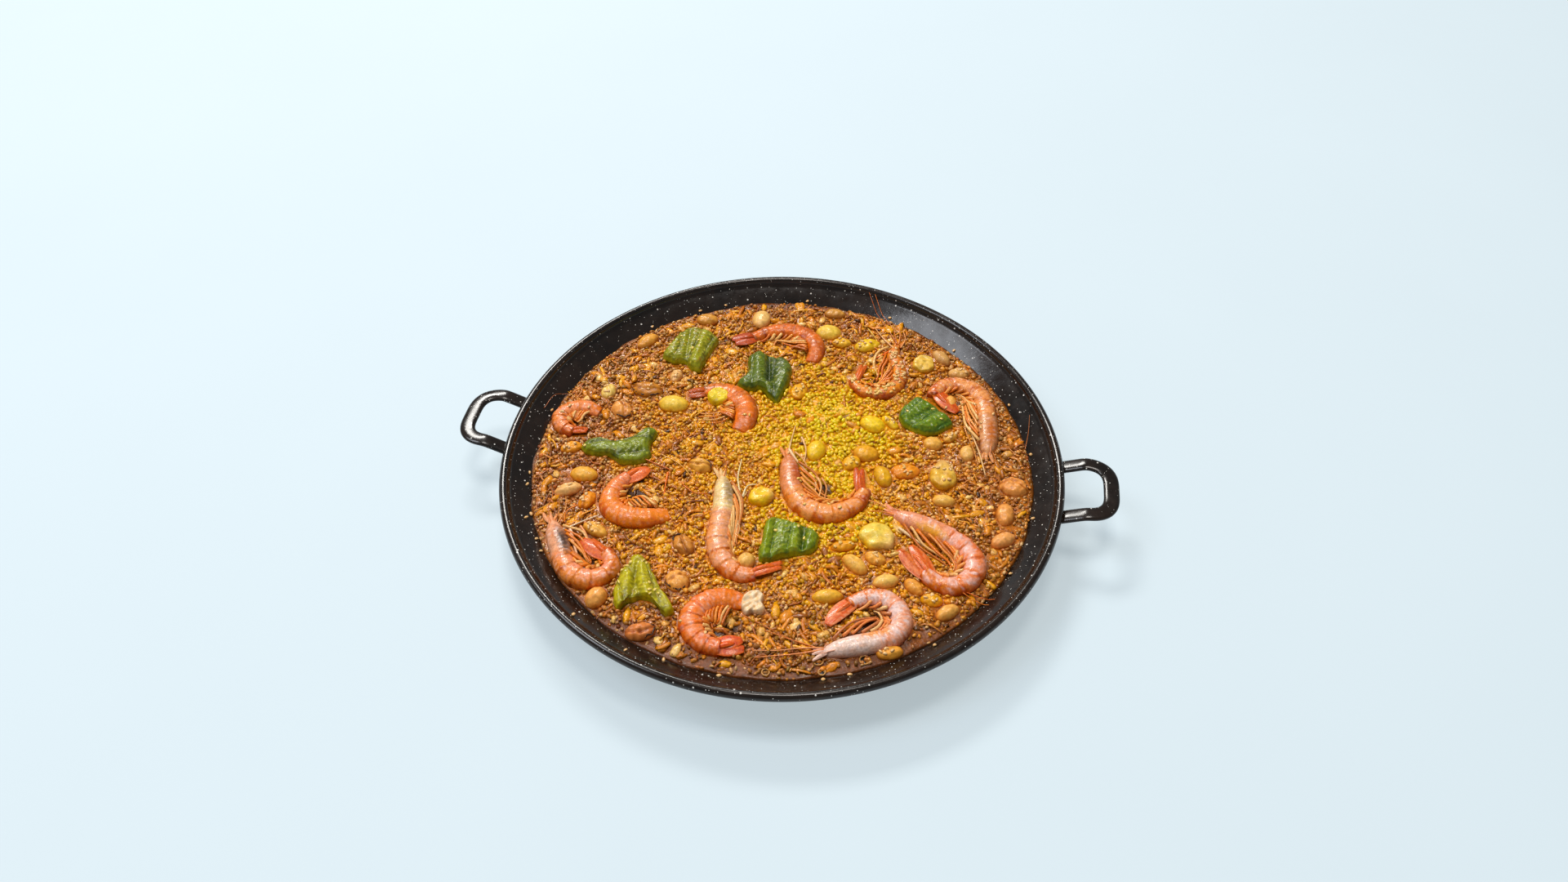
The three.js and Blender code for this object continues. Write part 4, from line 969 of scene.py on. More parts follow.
def feelers_shape():
    """The feelers and loose legs, which arch a little over the rice and the rim."""
    shape, rng = Shape(), np.random.default_rng(SEED + 3)
    t = np.linspace(0, 1, FEELER_POINTS)
    for thick, code, points in FEELERS:
        xy = smooth_line(points, FEELER_POINTS)
        ground = np.maximum(food_z(*xy.T), wall_height(np.hypot(*xy.T)))
        z = ground + 2.6 + thick + 1.4 * np.sin(np.pi * t) * rng.uniform(0.3, 1) - 1.2 * t
        radius = thick * (1 - 0.55 * t) * (1 + 0.12 * np.sin(9 * t))
        shape.add(tube(xy, z, radius, radius), rgb(code))
    return shape


# ---- ovals and peppers ------------------------------------------------------------------------
class Oval:
    """A piece on the rice with an oval outline, from a row of its table."""

    def __init__(self, x, y, length, width, heading, high, code):
        self.x, self.y, self.length, self.width, self.high = x, y, length, width, high
        self.turn, self.colour = np.radians(heading), rgb(code)
        a = circle(OVAL_POINTS)
        wave = 1 + EDGE_WAVE * np.sin(2 * a + x + y)
        self.outline = np.stack(turned(length / 2 * np.cos(a) * wave, width / 2 * np.sin(a) * wave,
                                       self.turn, x, y), 1)

    def local(self, px, py):
        """Millimetres along and across the oval from its middle."""
        return local(px, py, self.x, self.y, self.turn)

    def shares(self, px, py):
        """The same as shares of half its length and half its width."""
        u, v = self.local(px, py)
        return u / (self.length / 2), v / (self.width / 2)


def drawn_in(outline, shares):
    """Copies of an outline drawn in to its middle, as x and y."""
    centre = outline.mean(0)
    rings = centre + (outline - centre) * shares[:, None, None]
    return rings[..., 0], rings[..., 1]


def uneven(outline, amount, size, seed):
    """The outline with its edge moved in and out."""
    centre = outline.mean(0)
    return centre + (outline - centre) * (1 + amount * ripple(*outline.T, size, seed))[:, None]


def dome(outline, high, form, lift):
    """A heap over an outline, by heights at shares of the way from its middle to its edge, and a lift.

    It comes with the places and shares of its points, for its colours.
    """
    shares = np.sin(np.linspace(90, 4, OVAL_RINGS) * np.pi / 180) ** 0.8
    shares = np.r_[DOME_SKIRT[0], shares[1:]]
    heights = np.r_[DOME_SKIRT[1], np.interp(shares[2:], *np.array(form).T) * high][:, None]
    x, y = drawn_in(outline, shares)
    share = shares[:, None]
    z = food_z(x, y) + FIT + heights + lift(x, y, share) * (heights > 0)
    return skin(np.dstack([x, y, z])), x, y, share


def with_poles(colour):
    """The colours of rings of points, and of the two poles of their skin."""
    flat = colour.reshape(-1, 3)
    return np.vstack([colour[0].mean(0), flat, colour[-1].mean(0)])


def bean_shape(shape, oval, seed, rough=0.35):
    """A flat bean with a shallow dent along it."""
    def lift(x, y, share):
        return rough * ripple(x, y, 6.0, seed) - 0.5 * bell((oval.shares(x, y)[1] - 0.3) / 0.18)

    part, x, y, share = dome(oval.outline, oval.high, BEAN_FORM, lift)
    # painted shade: darker towards the edge, where the sides turn down
    tone = 0.25 * ripple(x, y, 8.0, seed + 1) + 0.85 * share ** 5
    shape.add(part, with_poles(blend(oval.colour * 1.12, oval.colour * [0.72, 0.5, 0.4], tone)))


def mussel_shape(shape, oval, seed):
    """A mussel out of its shell, with a winding groove and a dark frill."""
    def groove(x, y, half):
        u, v = oval.shares(x, y)
        return bell((v - 0.35 * np.sin(2.2 * u + seed)) / half)

    def lift(x, y, share):
        return (-2.1 * groove(x, y, 0.16) * (1 - share ** 4)
                + 0.5 * ripple(x, y, 6.0, seed) + 0.5 * ripple(x, y, 12.0, seed + 5))

    part, x, y, share = dome(oval.outline, oval.high, BEAN_FORM, lift)
    # painted shade: darker in the sunk groove and towards the edge, where the sides turn down
    tone = 0.35 * ripple(x, y, 7.0, seed + 1) + 0.75 * groove(x, y, 0.22) + 0.5 * share ** 4
    shape.add(part, with_poles(blend(oval.colour * 1.15, oval.colour * [0.45, 0.3, 0.2], tone)))
    frill(shape, oval, seed)


def frill(shape, oval, seed):
    """The dark ruffled edge along one side of a mussel."""
    edge = np.roll(oval.outline, seed * 7 % OVAL_POINTS, axis=0)[:OVAL_POINTS // 2]
    edge, t = smooth_line(edge, FRILL_POINTS), np.linspace(0, 1, FRILL_POINTS)
    out = unit(edge - oval.outline.mean(0))
    wave = ripple(*edge.T, 5.0, seed + 9)
    xy = edge - out * (1.4 + 1.0 * wave)[:, None]
    z = food_z(*xy.T) + oval.high * 0.42 + 0.9 * ripple(*edge.T, 6.0, seed + 10)
    radius = 0.95 * np.sin(np.pi * np.clip(t, 0.04, 0.96)) ** 0.5 * (1 + 0.3 * wave)
    shape.add(tube(xy, z, radius, radius), rgb(FRILL_COLOUR))


def slice_shape(shape, oval, seed):
    """A round slice that leans to the front, with a notch and a dark middle."""
    def notch(x, y):
        return bell((x - oval.x + 0.16 * oval.length) / 3.2, (y - oval.y + 0.34 * oval.width) / 2.2)

    def lift(x, y, share):
        lean = 0.42 * oval.high * np.clip(0.5 - (y - oval.y) / oval.width, 0, 1)
        return 0.4 * ripple(x, y, 6.0, seed) - lean * (1 - 0.5 * share ** 6) - 1.5 * notch(x, y)

    part, x, y, share = dome(uneven(oval.outline, 0.05, 12.0, seed), oval.high, SLICE_FORM, lift)
    tone = 0.3 + 0.4 * ripple(x, y, 5.0, seed + 1) + 0.5 * steps(share, 0.8, 1.0)
    colour = blend(oval.colour * 1.08, oval.colour * [0.8, 0.66, 0.42], tone)
    middle = bell(np.hypot(x - oval.x - 1, y - oval.y - 1) / 1.7)
    shape.add(part, with_poles(mix(colour, rgb(SLICE_MIDDLE), 0.6 * middle + 0.7 * notch(x, y))))


def chunk_shape(shape, oval, seed):
    """A flat piece with fan-like ridges, narrower and browner at one end."""
    outline = uneven(oval.outline, 0.07, 16.0, seed)
    along, across = oval.local(*outline.T)
    narrower = 0.22 * across * steps(along / (oval.length / 2), 0.0, 0.9)
    outline -= np.outer(narrower, [-np.sin(oval.turn), np.cos(oval.turn)])

    def lift(x, y, share):
        u, v = oval.local(x, y)
        ridges = 0.35 * np.sin(13 * np.arctan2(v, u + 0.45 * oval.length) + seed)
        return ridges * steps(share, 0.2, 0.7) + 0.8 * ripple(x, y, 14.0, seed)

    part, x, y, share = dome(outline, oval.high, CHUNK_FORM, lift)
    # painted shade: darker towards the edge, where the sides turn down
    tone = 0.25 + 0.4 * ripple(x, y, 9.0, seed + 1) + 0.5 * share ** 6
    colour = blend(oval.colour * 1.12, oval.colour * [0.8, 0.6, 0.3], tone)
    colour = mix(colour, rgb(CHUNK_END), 0.75 * steps(oval.shares(x, y)[0], 0.0, 1.1))
    shape.add(part, with_poles(colour))


def flesh_shape(shape):
    """The pale broken end of prawn 11."""
    outline, colour = smooth_line(FLESH, FLESH_POINTS, closed=True), rgb(FLESH_COLOUR)
    part, x, y, _ = dome(outline, FLESH_HIGH, SLAB_FORM, lambda x, y, share: 0.9 * ripple(x, y, 7.0, 91))
    tone = 0.5 + 0.6 * ripple(x, y, 5.0, 92)
    shape.add(part, with_poles(blend(colour, colour * [0.85, 0.66, 0.5], tone)))
    return outline[::2]


def fold_lift(folds, x, y):
    """How far folds raise or lower a skin."""
    total = np.zeros_like(x)
    for (ax, ay), (bx, by), half, rise in folds:
        along = ((x - ax) * (bx - ax) + (y - ay) * (by - ay)) / ((bx - ax) ** 2 + (by - ay) ** 2)
        along = np.clip(along, 0, 1)
        total += rise * bell(np.hypot(x - ax - along * (bx - ax), y - ay - along * (by - ay)) / half)
    return total


def pepper_shape(pepper, seed):
    """A piece of pepper: rounded ribs with creases between them, folds and a thin pale cut edge; ribs and
    raised folds are painted lighter and creases darker, as painted light and shade.
    """
    outline = smooth_line(pepper["outline"], PEPPER_POINTS, closed=True)
    outline += 0.6 * np.stack([ripple(*outline.T, 12.0, seed), ripple(*outline.T, 12.0, seed + 1)], 1)
    shares = np.r_[PEPPER_SKIRT[0], np.linspace(1, 0.03, PEPPER_RINGS)]
    heights = np.r_[PEPPER_SKIRT[1], np.interp(shares[2:], *np.array(PEPPER_FORM).T)][:, None]
    x, y = drawn_in(outline, shares)
    over = local(x, y, 0, 0, np.radians(pepper["ribs"]))[1] + 1.5 * ripple(x, y, 40.0, seed + 6)
    rib = 2 * np.abs(np.cos(np.pi * over / pepper["pitch"])) ** 0.6 - 1
    folds = fold_lift(pepper["folds"], x, y)
    wrinkle = 0.3 * ripple(x, y, 12.0, seed + 2) + 0.28 * ripple(x, y, 4.5, seed + 3)
    inner = steps(1 - shares, 0.0, 0.2)[:, None]
    z = food_z(x, y) + FIT + np.where(heights > 0, heights * pepper["high"] * (0.86 + 0.14 * rib), heights)
    z = z + np.where(heights > 0, (folds + wrinkle) * inner, 0)
    # painted light and shade: ribs and raised folds lighter, creases and lowered folds darker, over a mottled
    # tone
    tone = 0.42 + 0.36 * rib + 0.16 * folds + 0.22 * ripple(x, y, 18.0, seed + 4)
    colour = blend(rgb(pepper["deep_and_shade"]), rgb(pepper["skin"]), tone + 0.24 * ripple(x, y, 4.0, seed + 7))
    blister = steps(ripple(x, y, 7.0, seed + 5), 0.7, 1.1) * pepper["blister"]
    colour = mix(colour, rgb(PEPPER_BLISTER), blister)
    # pale flecks: painted highlights of oil, and specks of rice
    speck_and_glint = steps(ripple(x, y, 5.0, seed + 8) + 0.5 * ripple(x, y, 2.6, seed + 9), 0.75, 1.2)
    colour = mix(colour, rgb(PEPPER_SPECK_AND_GLINT), speck_and_glint * (0.15 + 0.6 * pepper["blister"]))
    colour = mix(colour, rgb(PEPPER_EDGE), steps(shares, 0.95, 1.0)[:, None] * 0.5)
    shape = Shape()
    shape.add(skin(np.dstack([x, y, z])), with_poles(colour))
    return shape, outline


# ---- rice -------------------------------------------------------------------------------------
def rice_colour(x, y):
    """The colour of the rice at each place on the plan."""
    colour = np.broadcast_to(rgb(RICE_BASE), (*np.shape(x), 3))
    wx, wy = x + 14 * ripple(x, y, 60.0, 21), y + 14 * ripple(x, y, 60.0, 22)
    for cx, cy, rx, ry, strength, code in RICE_TINTS:
        colour = mix(colour, rgb(code), strength * bell((wx - cx) / rx, (wy - cy) / ry))
    return mix(colour, rgb(RICE_EDGE), 0.5 * steps(np.hypot(wx, wy), 130, 240))


def lemon(x, y):
    """How yellow the rice is, from 0 to 1."""
    colour = rice_colour(x, y)
    return steps(colour[..., 1] / colour[..., 0], 0.45, 0.66)


def rice_relief(x, y):
    """How uneven the food's surface is, between the grains."""
    edge = steps(np.hypot(x, y), FOOD_RADIUS - 26, FOOD_RADIUS - 4)
    return (1.3 * ripple(x, y, 32.0, 31) + 1.1 * ripple(x, y, 12.0, 32)) * (1 - 0.7 * edge) - 0.3 - 0.5 * edge


def rice_z(x, y):
    """The height of the rice below the grains."""
    return food_z(x, y) + rice_relief(x, y)


def in_circles(x, y, circles):
    """How deep places lie in the nearest of the circles: 1 in the middle and 0 outside."""
    return np.max([1 - np.clip(np.hypot(x - cx, y - cy) / r, 0, 1) for cx, cy, r in circles], axis=0)


def broth(x, y):
    """1 where the broth stands over the rice, along the near and the far edge."""
    turn = np.degrees(np.arctan2(y, x))
    near = steps(np.hypot(x, y), 226, 236) * steps(-np.abs(turn + 92), -60, -30)
    far = steps(np.hypot(x, y), 232, 238) * steps(-np.abs(turn - 92), -26, -14)
    return np.maximum(near, far)


def glaze(x, y):
    """1 where thick gold broth nearly covers the grains."""
    return steps(in_circles(x, y, GLAZE) + 0.25 * ripple(x, y, 12.0, 36), 0.1, 0.6)


def core_shape():
    """The rice below the grains, down to the floor of the pan."""
    a = circle(CORE_ROUND)
    x, y = np.moveaxis(polar(np.linspace(4, FOOD_RADIUS - 3, CORE_RINGS)[:, None], a, 0.0)[..., :2], -1, 0)
    top = np.dstack([x, y, rice_z(x, y) + 1.8 * glaze(x, y)])
    climb = FOOD_EDGE_Z - 1.5 + 0.9 * ripple(FOOD_RADIUS * np.cos(a), FOOD_RADIUS * np.sin(a), 40.0, 33)
    edge = polar(wall_radius(climb) + 0.5, a, climb)[None]
    levels = np.array(CORE_LEVELS)[:, None]
    side = polar(wall_radius(levels) + 0.4, a, levels)
    floor = polar(np.array(CORE_FLOOR)[:, None], a, CORE_LEVELS[-1])
    rings = np.vstack([top, edge, side, floor])
    x, y = rings[..., 0], rings[..., 1]
    colour = mix(mix(rgb(BED_BROWN), rgb(BED_GOLD), lemon(x, y)), rice_colour(x, y), 0.25)
    colour = colour * (1 + 0.3 * ripple(x, y, 7.0, 34) + 0.25 * ripple(x, y, 24.0, 35))[..., None]
    # painted shade: near black in the hollows inside the curls
    colour = mix(colour, rgb(HOLLOW_SHADE_COLOUR), 0.9 * steps(in_circles(x, y, SHADED_HOLLOWS), 0, 0.4))
    colour = mix(colour, rice_colour(x, y) * [0.8, 0.62, 0.4], 0.85 * glaze(x, y))
    colour = mix(colour, rgb(BROTH_COLOUR), 0.8 * broth(x, y))
    colour = mix(colour, rgb(WALL_SHADE), 0.8 * steps(np.hypot(x, y), FOOD_RADIUS - 5, FOOD_RADIUS - 1))
    shape = Shape()
    shape.add(skin(rings), with_poles(colour))
    return shape


def signed_distance(x, y, outline):
    """Distance to an outline, negative inside it."""
    best, inside = np.full(len(x), np.inf), np.zeros(len(x), bool)
    for (ax, ay), (bx, by) in zip(outline, np.roll(outline, -1, axis=0)):
        dx, dy = bx - ax, by - ay
        t = np.clip(((x - ax) * dx + (y - ay) * dy) / max(dx * dx + dy * dy, 1e-9), 0, 1)
        best = np.minimum(best, np.hypot(x - ax - t * dx, y - ay - t * dy))
        if dy:
            inside ^= ((ay > y) != (by > y)) & (x < dx * (y - ay) / dy + ax)
    return np.where(inside, -best, best)


def clearance(x, y, outlines, reach=12.0):
    """Distance to the nearest outline, up to `reach`."""
    best = np.full(len(x), reach)
    for outline in outlines:
        low, high = outline.min(0) - reach, outline.max(0) + reach
        near = (x > low[0]) & (x < high[0]) & (y > low[1]) & (y < high[1])
        if near.any():
            best[near] = np.minimum(best[near], signed_distance(x[near], y[near], outline))
    return best


def scattered(step, seed, radius):
    """Points on an uneven triangular net inside a radius."""
    rng = np.random.default_rng(seed)
    rows = np.arange(-radius, radius, step * 0.866)
    x, y = np.meshgrid(np.arange(-radius, radius, step), rows)
    x = x + (np.arange(len(rows)) % 2 * step / 2)[:, None]
    x, y = (v.ravel() + rng.uniform(-0.34, 0.34, v.size) * step for v in (x, y))
    keep = np.hypot(x, y) < radius
    return x[keep], y[keep]


def grain_form(seed):
    """One uneven grain along X, about a unit long and wide, as points, quads and triangles."""
    rng = np.random.default_rng(seed)
    a, bow = circle(GRAIN_ROUND), rng.uniform(-0.16, 0.16)
    rings = []
    for u, r in GRAIN_RINGS:
        reach = 0.5 * r * rng.uniform(0.8, 1.2, GRAIN_ROUND)
        side = reach * np.cos(a) + bow * (0.5 - 4 * u * u)
        rings.append(np.stack([np.full(GRAIN_ROUND, u), side, reach * np.sin(a)], 1))
    points, faces = skin(np.array(rings))
    points[0], points[-1] = (-0.5, -bow / 2, 0), (0.5, -bow / 2, 0)
    return points, faces


def place(form, x, y, z, heading, pitch, scale):
    """Copies of a form, each turned, tilted and scaled to its own length, width and height."""
    points, faces = form
    long, wide, high = np.moveaxis(points[None] * scale[:, None], -1, 0)
    ahead, rise = turned(long, high, pitch[:, None])
    placed = np.stack([*turned(ahead, wide, heading[:, None], x[:, None], y[:, None]), z[:, None] + rise], -1)
    shift = (np.arange(len(x)) * len(points))[:, None, None]
    return placed.reshape(-1, 3), [(f[None] + shift).reshape(-1, f.shape[1]) for f in faces]


def add_copies(shape, forms, x, y, z, heading, pitch, size, colour, mottle=0.0):
    """Copies of several forms in turn, each in its own colour."""
    for n, form in enumerate(forms):
        part = place(form, *(v[n::len(forms)] for v in (x, y, z, heading, pitch, size)))
        shade = np.repeat(colour[n::len(forms)], len(form[0]), axis=0)
        if mottle:
            shade = shade * (1 + mottle * ripple(part[0][:, 0], part[0][:, 1], 3.5, 52))[:, None]
        shape.add(part, shade)


class Toppings:
    """The outlines of all that lies on the rice, and the single grains and seeds that lie on that."""

    def __init__(self):
        self.outlines, self.places = [], []

    def over(self, name, shape, outline, seed, seeds=0.0):
        """Note a piece and lay its grains, or seeds where `seeds` is near 1, on its upper side."""
        self.outlines.append(outline)
        rng, count = np.random.default_rng(seed), ON_TOP.get(name, 0)
        if not count:
            return
        x, y = (rng.uniform(low, high, 12 * count) for low, high in zip(outline.min(0), outline.max(0)))
        inside = signed_distance(x, y, outline) < -GRAIN_LENGTH * 0.5
        x, y = x[inside][:count], y[inside][:count]
        z = shape.top(x, y)
        self.places += [(px, py, pz + GRAIN_WIDTH * 0.12, seeds) for px, py, pz in zip(x, y, z) if pz > 0]

    def on_wall(self):
        """Grains that stick to the wall above the food."""
        rng = np.random.default_rng(SEED + 61)
        turn, radius = rng.uniform(0, TAU, WALL_GRAINS), FOOD_RADIUS + 1.5 + rng.exponential(0.8, WALL_GRAINS)
        stuck = np.vstack([polar(radius, turn, 0.0)[:, :2], STUCK])
        z = wall_height(np.hypot(*stuck.T)) + 1.1
        self.places += [(px, py, pz, 0.0) for (px, py), pz in zip(stuck, z)]

    def piece(self, material):
        rng = np.random.default_rng(SEED + 60)
        x, y, z, seeds = np.array(self.places).T
        count, shape = len(x), Shape()
        colour, _ = grain_colours(x, y, np.ones(count, bool), rng)
        # paler than the rice's grains, and 1.3 times brighter: painted light against the shading that they
        # get on the toppings
        colour = 1.3 * mix(colour * 0.3 + 0.7 * rgb(GRAIN_PALE), rgb(SEED_COLOUR), seeds)
        size = rng.normal(1, 0.12, (count, 3)) * [GRAIN_LENGTH, GRAIN_WIDTH, GRAIN_WIDTH * 0.7]
        add_copies(shape, grain_forms(), x, y, z, rng.uniform(0, TAU, count), rng.normal(0, 0.15, count),
                   size, colour)
        shape.piece("rice_on_toppings", material, "rice")


class Cover:
    """The places on the plan, to the millimetre, that scraps and crumbs cover."""

    def __init__(self):
        self.cells = np.zeros((2 * COVER_HALF, 2 * COVER_HALF), bool)

    def on(self, x, y):
        return self.cells[(x + COVER_HALF).astype(int), (y + COVER_HALF).astype(int)]

    def add(self, *columns):
        """Cover ovals, by columns of x, y, length, width and heading in radians."""
        for x, y, length, width, heading in zip(*columns):
            reach = int(length / 2) + 2
            px, py = np.mgrid[int(x) - reach:int(x) + reach, int(y) - reach:int(y) + reach]
            u, v = local(px, py, x, y, heading)
            u, v = u / (length / 2), v / (width / 2)
            self.cells[px + COVER_HALF, py + COVER_HALF] |= u * u + v * v < 1


def grain_places(outlines, cover):
    """Where the grains lie: a full layer, and a loose one on top of it."""
    rng = np.random.default_rng(SEED)
    x, y = scattered(GRAIN_STEP, SEED + 1, FOOD_RADIUS - 1.8)
    x2, y2 = scattered(LOOSE_STEP, SEED + 2, FOOD_RADIUS - 3)
    upper = np.r_[np.zeros(len(x), bool), np.ones(len(x2), bool)]
    x, y = np.r_[x, x2], np.r_[y, y2]
    heading = rng.uniform(0, np.pi, len(x))
    gap = clearance(x, y, outlines)
    delta = 0.5
    slope_x = clearance(x + delta, y, outlines) - gap
    slope_y = clearance(x, y + delta, outlines) - gap
    heading = np.where(gap < GRAIN_LENGTH * 0.55, np.arctan2(slope_y, slope_x) + np.pi / 2, heading)
    heading = np.where(np.hypot(x, y) > FOOD_RADIUS - 5, np.arctan2(y, x) + np.pi / 2, heading)
    bare = np.maximum(0.92 * steps(in_circles(x, y, SHADED_HOLLOWS), 0, 0.3), 0.75 * broth(x, y))
    bare = np.maximum(bare, THINNER * lemon(x, y))
    keep = (gap > GRAIN_WIDTH * 0.42) & (rng.uniform(0, 1, len(x)) > bare) & ~cover.on(x, y)
    spread = rng.uniform(-LAYER_SPREAD, LAYER_SPREAD, len(x))
    z = rice_z(x, y) + np.where(upper, LOOSE_LAYER, FULL_LAYER) + spread
    return (v[keep] for v in (x, y, z, heading, upper))


def grain_colours(x, y, upper, rng):
    """Each grain's colour: its region's, patchy, with pale and dark ones among them, and the lower layer's
    darker and more orange, as painted shade and for the oil between the grains.
    """
    count = len(x)
    yellow = lemon(x, y)
    patch = 0.16 * ripple(x, y, 26.0, 41) + (0.26 - 0.14 * yellow) * ripple(x, y, 10.0, 42)
    # the lower layer is painted darker and more orange: painted shade under the loose grains, and the oil
    # between them
    bright = np.exp(rng.normal(0.04, 0.2, count) + (patch + np.where(upper, 0.12, -0.2)))
    colour = rice_colour(x, y) * (bright * (1 + 0.08 * yellow))[:, None] * rng.normal(1, 0.03, (count, 3))
    colour = colour * np.where(upper[:, None], 1.0, [1.0, 0.88, 0.7])
    pale = rng.uniform(0, 1, count) < 0.35 + 0.3 * ripple(x, y, 16.0, 43)
    target = mix(rgb(GRAIN_PALE), rgb(GRAIN_LEMON), yellow)
    share = rng.uniform(0.2, 0.75, count)[:, None]
    colour = np.where(pale[:, None], colour * (1 - share) + target * share, colour)
    colour = colour * (1 - 0.24 * steps(np.hypot(x, y), 110, 235))[:, None]
    dark = rng.uniform(0, 1, count) < (0.2 + 0.2 * ripple(x, y, 20.0, 44)) * (1 - 0.85 * yellow)
    return np.where(dark[:, None], colour * [0.6, 0.46, 0.44], colour), yellow


def grain_forms():
    return [grain_form(80 + n) for n in range(GRAIN_FORMS)]


def grain_pieces(outlines, cover, material):
    """The grains in three pieces, from the most yellow third to the least."""
    rng = np.random.default_rng(SEED + 5)
    x, y, z, heading, upper = grain_places(outlines, cover)
    count = len(x)
    pitch = rng.normal(0, 0.35, count)
    size = rng.normal(1, 0.17, (count, 3)).clip(0.6, 1.45) * [GRAIN_LENGTH, GRAIN_WIDTH, GRAIN_WIDTH * 0.9]
    colour, yellow = grain_colours(x, y, upper, rng)
    size = size * (1 + PLUMPER * yellow)[:, None]
    rank = np.argsort(np.argsort(-yellow))
    for k, name in enumerate(("yellow", "gold", "brown")):
        pick, shape = (rank * 3 // count) == k, Shape()
        add_copies(shape, grain_forms(), *(v[pick] for v in (x, y, z, heading, pitch, size, colour)))
        shape.piece(f"rice_grains_{name}", material, "rice")


def lump_form(seed, around=11, rows=7):
    """A crumpled lump, a unit long, wide and high."""
    up = np.radians(np.linspace(-80, 80, rows))[:, None]
    x, y, z = np.moveaxis(polar(np.cos(up), circle(around), np.sin(up)), -1, 0)
    swell = 1 + 0.2 * ripple(x + 2 * z, y - z, 1.3, seed) + 0.1 * ripple(x - z, y + z, 0.6, seed + 1)
    return skin(np.stack([x * swell, y * swell, z * swell], -1) / 2)


def scatter_spots(rng, count, away, outlines, size):
    """Places for scraps, clear of the toppings, rarer in the yellow middle."""
    radius, turn = (FOOD_RADIUS - 7) * rng.uniform(0, 1, count * 6) ** 0.5, rng.uniform(0, TAU, count * 6)
    x, y = radius * np.cos(turn), radius * np.sin(turn)
    cx, cy, near, far = YELLOW_MIDDLE
    chance = 1 - away * (1 - steps(np.hypot(x - cx, y - cy), near, far))
    patchy = steps(ripple(x, y, 60.0, 51), -0.9, 0.6)
    length = rng.uniform(*size, len(x))
    keep = rng.uniform(0, 1, len(x)) < chance * (0.3 + 0.7 * patchy)
    keep &= clearance(x, y, outlines) > length * 0.42
    return (v[keep][:count] for v in (x, y, length))


def crumbs_piece(outlines, cover, material):
    """Broken bits and clumps in the rice's own colours, where it is browner."""
    rng, shape = np.random.default_rng(SEED + 30), Shape()
    x, y, length = scatter_spots(rng, CRUMBS["count"], CRUMBS["away"], outlines, CRUMBS["size"])
    keep = ~cover.on(x, y)
    x, y, length = x[keep], y[keep], length[keep]
    count = len(x)
    scale = length[:, None] * np.stack([np.ones(count), *rng.uniform(0.5, 0.95, (2, count))], 1)
    z = rice_z(x, y) + rng.uniform(*CRUMB_HEIGHT, count)
    bright = np.exp(rng.normal(-0.1, 0.38, count))[:, None]
    paint = rice_colour(x, y) * bright * rng.normal(1, 0.06, (count, 3))
    heading, pitch = rng.uniform(0, TAU, count), rng.normal(0, 0.3, count)
    add_copies(shape, [lump_form(75, 7, 5)], x, y, z, heading, pitch, scale, paint)
    shape.piece("rice_crumbs", material, "rice")
    cover.add(x, y, length * 0.7, length * 0.5, np.zeros(count))


def scrap_pieces(outlines, cover, material):
    """Scraps of meat and vegetable, one piece for each kind."""
    forms = [lump_form(61 + 3 * k) for k in range(4)]
    for k, (name, (count, size, slim, high, colours, away)) in enumerate(SCRAPS.items()):
        rng, shape = np.random.default_rng(SEED + 20 + k), Shape()
        x, y, length = scatter_spots(rng, count, away, outlines, size)
        heading = rng.uniform(0, TAU, len(x))
        width = length * slim * rng.uniform(0.75, 1.3, len(x))
        scale = np.stack([length, width, np.minimum(width, high) * rng.uniform(0.8, 1.2, len(x))], 1)
        z = rice_z(x, y) + SCRAP_LIFT + rng.uniform(*SCRAP_HEIGHT, len(x))
        paint = mix(rgb(colours[0]), rgb(colours[1]), rng.uniform(0, 1, len(x)))
        add_copies(shape, forms, x, y, z, heading, rng.normal(0, 0.12, len(x)), scale, paint, mottle=0.3)
        shape.piece(name, material, "rice")
        cover.add(x, y, length * 0.78, width * 0.78, heading)


def strand_pieces(outlines, material):
    """Curved shreds of leg, shell and onion."""
    t = np.linspace(-0.5, 0.5, 9)
    for k, (name, (count, size, thick, flat, colours)) in enumerate(STRANDS.items()):
        rng, shape = np.random.default_rng(SEED + 40 + k), Shape()
        for cx, cy, long in zip(*scatter_spots(rng, count, 0.9, outlines, size)):
            heading = rng.uniform(0, TAU) + rng.uniform(-1.6, 1.6) * t
            xy = np.cumsum(np.stack([np.cos(heading), np.sin(heading)], 1), axis=0) * long / 9
            xy += [cx, cy] - xy.mean(0)
            z = rice_z(*xy.T) + STRAND_LIFT + rng.uniform(*STRAND_HEIGHT) - STRAND_DROOP * (2 * t) ** 2
            radius = rng.uniform(*thick) * (1 - 0.5 * (2 * t) ** 4)
            paint = rgb(colours[rng.integers(4)]) * rng.uniform(0.8, 1.1)
            shape.add(tube(xy, z, radius, radius * flat), paint)
        shape.piece(name, material, "rice")


def bubbles_piece(material):
    """Rings of froth round the holes in the broth, whose dark inside is a near-black lump of painted shade.
    """
    shape, around, section = Shape(), 28, circle(8)
    lump, faces = lump_form(7)
    for x, y, r in BUBBLES:
        z = rice_z(x, y) + 0.8
        out, up = r + FROTH * np.cos(section), z + FROTH * np.sin(section)
        ring = polar(out, circle(around)[:, None], up) + [x, y, 0]
        shape.add((ring.reshape(-1, 3), [quads(around, len(section), closed=True)]), rgb(FROTH_COLOUR))
        # painted shade: a near-black lump stands for the dark inside of the hole
        shape.add((np.array([x, y, z - 0.9]) + lump * [1.9 * r, 1.9 * r, 1.6], faces), rgb(HOLE_SHADE_COLOUR))
    shape.piece("broth_bubbles", material, "rice")


# ---- studio -----------------------------------------------------------------------------------
def aim(thing, target):
    """Turn a camera or light to a point."""
    thing.rotation_euler = (Vector(target) - thing.location).to_track_quat("-Z", "Y").to_euler()


